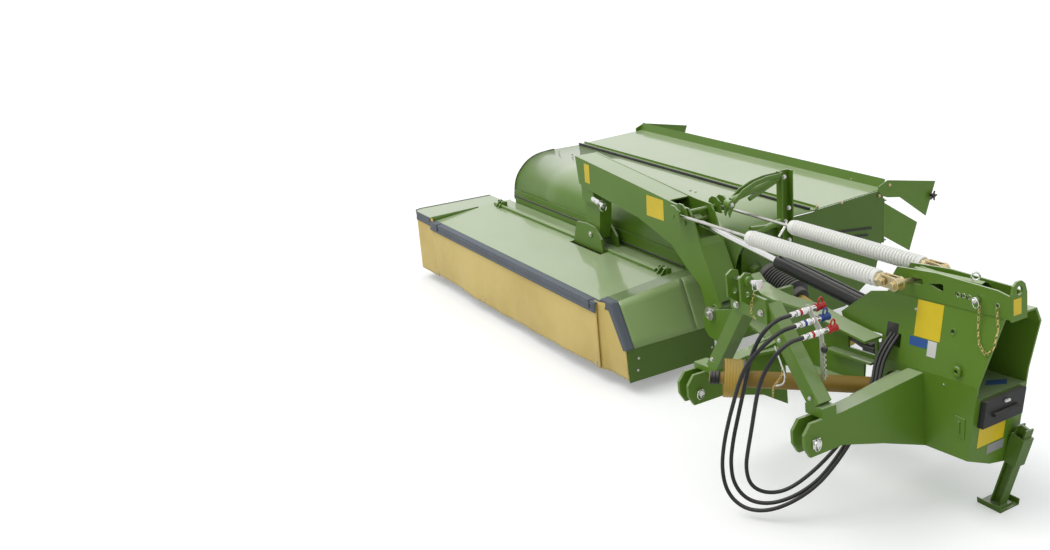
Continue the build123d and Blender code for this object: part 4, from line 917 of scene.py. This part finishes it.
# ---- headstock: bracket, rack and labels ---------------------------------------------------------
def bracket_fittings():
    """Lock pin on its chain, the lifting eye and the half-round channel of the spring bracket."""
    pin = Stock()
    pin.turned(level(766, 742, 1043), level(766, 680, 1043), [
        (0, 9), (6, 9), (8, 15), (12, 16), (30, 16), (34, 14), (34, 8), (42, 8), (44, 6), (44, 0)], 24)
    pin.ring(level(772, 712, 1030), (0.2, 1, 0), 0.021, 0.0025, sides=6)
    pin.turned(level(708, 790, 1092), level(708, 790, 1200), [
        (0, 0), (0, 14), (4, 14), (5, 7), (18, 7), (18, 0)], 20)
    pin.ring(level(708, 790, 1126), (0.6, -0.8, 0), 0.018, 0.0052)
    for x, z in ((650, 1040), (682, 1042), (714, 1042), (871, 1033)):
        pin.ring(level(x, 739.4, z), BACK, 0.0105, 0.0009, 20, 5)
    pin.done("bracket_pins", CHROME, "headstock", 0.0005)
    loop = [(785, 722, 1020), (779, 718, 930), (794, 704, 852), (835, 698, 812), (876, 704, 846),
            (892, 716, 932), (876, 730, 1024)]
    chain("bracket_chain", [level(*p) for p in loop], "headstock", 0.012, 0.0016)
    top, low = [[level(360, y, 1112), level(736, y, 1084)] for y in (762, 806)]
    skin("half_round", top, low, 8, 12, 0.004, GREEN, "headstock", -0.020)


def hose_rack():
    """Slim toothed strip that the parked couplers hang in, with its knob."""
    strip = Stock()
    line = [(318, 1078), (346, 1078), (376, 1030), (416, 985), (424, 930), (420, 748), (396, 740), (392, 800),
            (396, 930), (380, 968), (350, 1012), (314, 1066)]
    strip.plate([level(x, 131, z) for x, z in line], 0.005)
    for index in range(7):
        tooth = Matrix.Translation(level(422, 131, 915 - 24 * index))
        strip.block((-0.006, 0, -0.004), (0.010, 0.005, 0.004), tooth)
    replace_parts(strip.done("hose_rack", GREY, "headstock", 0.0006), "hose_holder")
    knob = [(0, 0), (0, 8), (6, 8), (7, 13), (10, 15), (22, 15), (25, 12), (25, 0)]
    Stock().turned(level(436, 137, 896), level(436, 60, 896), knob, 24).done(
        "rack_knob", BLACK, "headstock", 0.0008)


def label(name, corners, material, body="headstock"):
    """Blank sticker on four corners, given so that its face looks outwards."""
    thick, edge = 0.0007, 0.0002
    Stock().plate(corners, thick).done(name, material, body, edge)


def upright(point, x0, x1, z0, z1):
    """Corners of a rectangle on a surface that point(x, z) gives, from its upper left and down."""
    return [point(x0, z1), point(x0, z0), point(x1, z0), point(x1, z1)]


def labels():
    """Blank stickers on the housing, the bracket's end, the shelf and the boom."""
    label("label_slope_yellow", upright(on_slope, 402, 562, 804, 972), LABEL_YELLOW)
    label("label_slope_blue", upright(on_slope, 380, 488, 758, 799), LABEL_BLUE)
    label("label_slope_white", upright(on_slope, 494, 548, 728, 800), LABEL_WHITE)
    label("label_side_yellow", upright(on_side, 724, 905, 332, 440), LABEL_YELLOW)
    label("label_side_grey", upright(on_side, 800, 915, 276, 324), LABEL_GREY)
    bracket_end = ((748, 1072), (748, 1000), (800, 1000), (800, 1072))
    label("label_bracket", [level(948.5, y, z) for y, z in bracket_end], LABEL_YELLOW)
    shelf = ((664, 900), (700, 850), (758, 930), (722, 975))
    label("label_shelf", [level(x, y, 590.8) for x, y in shelf], LABEL_BLUE)
    boom_side = {"middle": ((-1876, 1098), (-1884, 966), (-1692, 966), (-1690, 1096)),
                 "end": ((-2634, 1176), (-2634, 1048), (-2570, 1044), (-2566, 1174))}
    for place, corners in boom_side.items():
        label("label_boom_" + place, [ground(x, 699.5, z) for x, z in corners], LABEL_YELLOW, "boom")


# ---- boom and cylinder ---------------------------------------------------------------------------
def pivot_nuts():
    """Discs, rims and nuts on the front ends of the two pivot pins."""
    ends = Stock()
    for node, disc, size in (("boom_pivot_pin", 0.040, 17), ("mower_pivot_pin", 0.020, 9)):
        low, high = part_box(node)
        pin_end = Vector(((low[0] + high[0]) / 2, low[1], (low[2] + high[2]) / 2))
        seat = pin_end - BACK * 0.002
        ends.bar(pin_end, seat, disc, 32)
        ends.ring(seat, BACK, disc * 0.75, 0.0015, 28, 6)
        ends.bolt(seat, -BACK, size)
    ends.done("pivot_nuts", STEEL, "boom", 0.0008)


def hanger_pin():
    """Parking pin through the hanger, with its ring."""
    pin = Stock()
    pin.turned(ground(-2530, 690, 955), ground(-2378, 690, 930), [
        (0, 0), (0, 15), (10, 15), (12, 21), (50, 21), (52, 17), (60, 17), (62, 23), (96, 23), (98, 14),
        (124, 14), (126, 18), (146, 18), (148, 10), (150, 0)], 12)
    pin.ring(ground(-2400, 690, 915), RIGHT, 0.024, 0.0035, sides=6)
    pin.done("hanger_pin", CHROME, "boom", 0.0006)


def boom_fittings():
    """Bolts on top of the boom, the cylinder's pipe and the lifting eyes at the rear."""
    tops = [ground(x, 742, 1096 + (x + 1800) * -0.086) for x in (-2480, -2320, -1960, -1800)]
    Stock().bolts(tops, UP, 7).done("boom_bolts", STEEL, "boom", 0.0005)
    base, eye = Vector((140, 830)), Vector((-1470, 1000))
    way = (eye - base).normalized()
    pipe = []
    for distance, rise in ((60, 44), (110, 56), (180, 58), (420, 58), (700, 58), (800, 56), (836, 44)):
        spot = base + way * distance
        pipe.append(ground(spot.x + 6, 776, spot.y + rise))
    wire("cylinder_pipe", pipe, 0.007, BLACK, "lift_barrel")
    eyes = Stock()
    for x in (-4215, -1565):
        eyes.turned(ground(x, 2150, 950), ground(x, 2150, 1050), [
            (0, 0), (0, 15), (5, 15), (6, 8), (22, 8), (22, 0)], 20)
        eyes.ring(ground(x, 2150, 990), (0.7, -0.7, 0), 0.019, 0.0055)
    eyes.done("lifting_eyes", CHROME, "mower", 0.0005)


# ---- inner wall and the box's latch --------------------------------------------------------------
WALL_X = -1264    # the inner wall's face towards the headstock


def wall_fittings():
    """Bolts along the inner wall, dark sheets in its slots that paint the shade inside them, and the star
    knob of its swath board.
    """
    spots = [ground(WALL_X, y, z) for y, z in ((1548, 985), (2089, 950), (2180, 1006), (1760, 968))]
    Stock().bolts(spots, RIGHT, 10).done("wall_bolts", ZINC, "mower", 0.0006)
    # Dark sheets in the slots: painted shade.
    slots = Stock()
    for (y0, z0), (y1, z1) in (((1715, 787), (2026, 753)), ((1745, 747), (1994, 712))):
        corners = ((y0, z0), (y0 + 8, z0 - 13), (y1, z1 - 13), (y1, z1))
        slots.plate([ground(WALL_X + 0.4, y, z) for y, z in corners], 0.0006)
    slots.done("wall_slot_shade", RUBBER, "mower")
    knob = Stock()
    spot = ground(WALL_X + 2, 2570, 867)
    knob.turned(spot, spot + RIGHT, [(0, 0), (0, 10), (12, 10), (14, 17), (28, 17), (31, 13), (31, 0)], 24)
    hub = spot + RIGHT * 0.021
    for index in range(5):
        turn = index * 2 * pi / 5
        knob.bar(hub, hub + Vector((0, cos(turn), sin(turn))) * 0.034, 0.0075, 12, 0.0055)
    knob.done("board_knob", RUBBER, "mower", 0.001)


def box_latch():
    """Pale latch on the document box's lid."""
    low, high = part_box("document_box")
    top = Vector((high[0] - 0.004, (low[1] + high[1]) / 2, high[2] - 0.022))
    latch = Stock().block(top - Vector((0.006, 0.016, 0.008)), top + Vector((0.006, 0.016, 0.004)))
    latch.done("box_latch", WHITE, "headstock", 0.002)


# ---- studio --------------------------------------------------------------------------------------
PLAIN_WHITE = (1.0, 1.0, 1.0, 1.0)


def sky():
    """White behind the machine, and a bright even dome that lights it."""
    world = bpy.data.worlds.new("studio")
    bpy.context.scene.world = world
    world.use_nodes = True
    nodes = Nodes(world.node_tree)
    nodes.tree.nodes.clear()
    rays = nodes.tree.nodes.new("ShaderNodeLightPath")
    eye, gloss, glass = [Signal(nodes, rays.outputs["Is %s Ray" % kind])
                         for kind in ("Camera", "Glossy", "Transmission")]
    height = nodes.axis("Z", nodes.add("ShaderNodeTexCoord", output="Generated"))
    strength = nodes.add("ShaderNodeMapRange", sockets={0: height, 1: -0.1, 2: 1.0, 3: 0.30, 4: 0.95})
    dome = nodes.add("ShaderNodeBackground", sockets={"Color": (0.96, 0.98, 1.0, 1.0), "Strength": strength})
    backdrop = nodes.add("ShaderNodeBackground", sockets={"Color": PLAIN_WHITE, "Strength": 1.0})
    seen = eye.either(gloss).either(glass)
    mix = nodes.add("ShaderNodeMixShader", sockets={0: seen, 1: dome, 2: backdrop})
    nodes.join(nodes.tree.nodes.new("ShaderNodeOutputWorld").inputs[0], mix)


def key_light():
    """High, soft sun from the cutter's side."""
    key = bpy.data.lights.new("key", "SUN")
    key.energy, key.angle, key.color = 1.15, radians(35), (1.0, 0.985, 0.95)
    lamp = bpy.data.objects.new("key", key)
    bpy.context.scene.collection.objects.link(lamp)
    lamp.matrix_world = Vector((-0.35, -0.55, 1.15)).to_track_quat("Z", "Y").to_matrix().to_4x4()


def floor():
    """Pale floor that keeps the shadow and glows a little to the eye."""
    pale = Finish("studio_floor", roughness=0.9, specular_ior_level=0.0)
    pale.done(base_color=pale.blend(pale.noise(0.6, 2.0), (0.80, 0.80, 0.80), (0.78, 0.78, 0.78)))
    lit = pale.add("ShaderNodeLightPath", output="Is Camera Ray") * 0.30
    glow = pale.add("ShaderNodeEmission", sockets={"Color": PLAIN_WHITE, "Strength": lit})
    matt = Signal(pale, pale.shader.outputs[0])
    total = pale.add("ShaderNodeAddShader", sockets={0: matt, 1: glow})
    pale.join(pale.tree.nodes["Material Output"].inputs["Surface"], total)
    grid = bmesh.new()
    bmesh.ops.create_grid(grid, x_segments=1, y_segments=1, size=60.0)
    data = bpy.data.meshes.new("floor")
    grid.to_mesh(data)
    grid.free()
    data.materials.append(pale.material)
    plane = bpy.data.objects.new("floor", data)
    bpy.context.scene.collection.objects.link(plane)


# ---- the whole machine ---------------------------------------------------------------------------
finish_cad_nodes()
for make in (camera, hoses, curtains, springs, pto_coupling, pto_guard, drive_shaft, edge_strips,
             deck_fittings, slants, hood, adjusting_post, headstock_bolts, housing_bosses, hitch_pins,
             bracket_fittings, hose_rack, labels, pivot_nuts, hanger_pin, boom_fittings, wall_fittings,
             box_latch, sky, key_light, floor):
    make()
bpy.context.scene.view_settings.view_transform = "Standard"
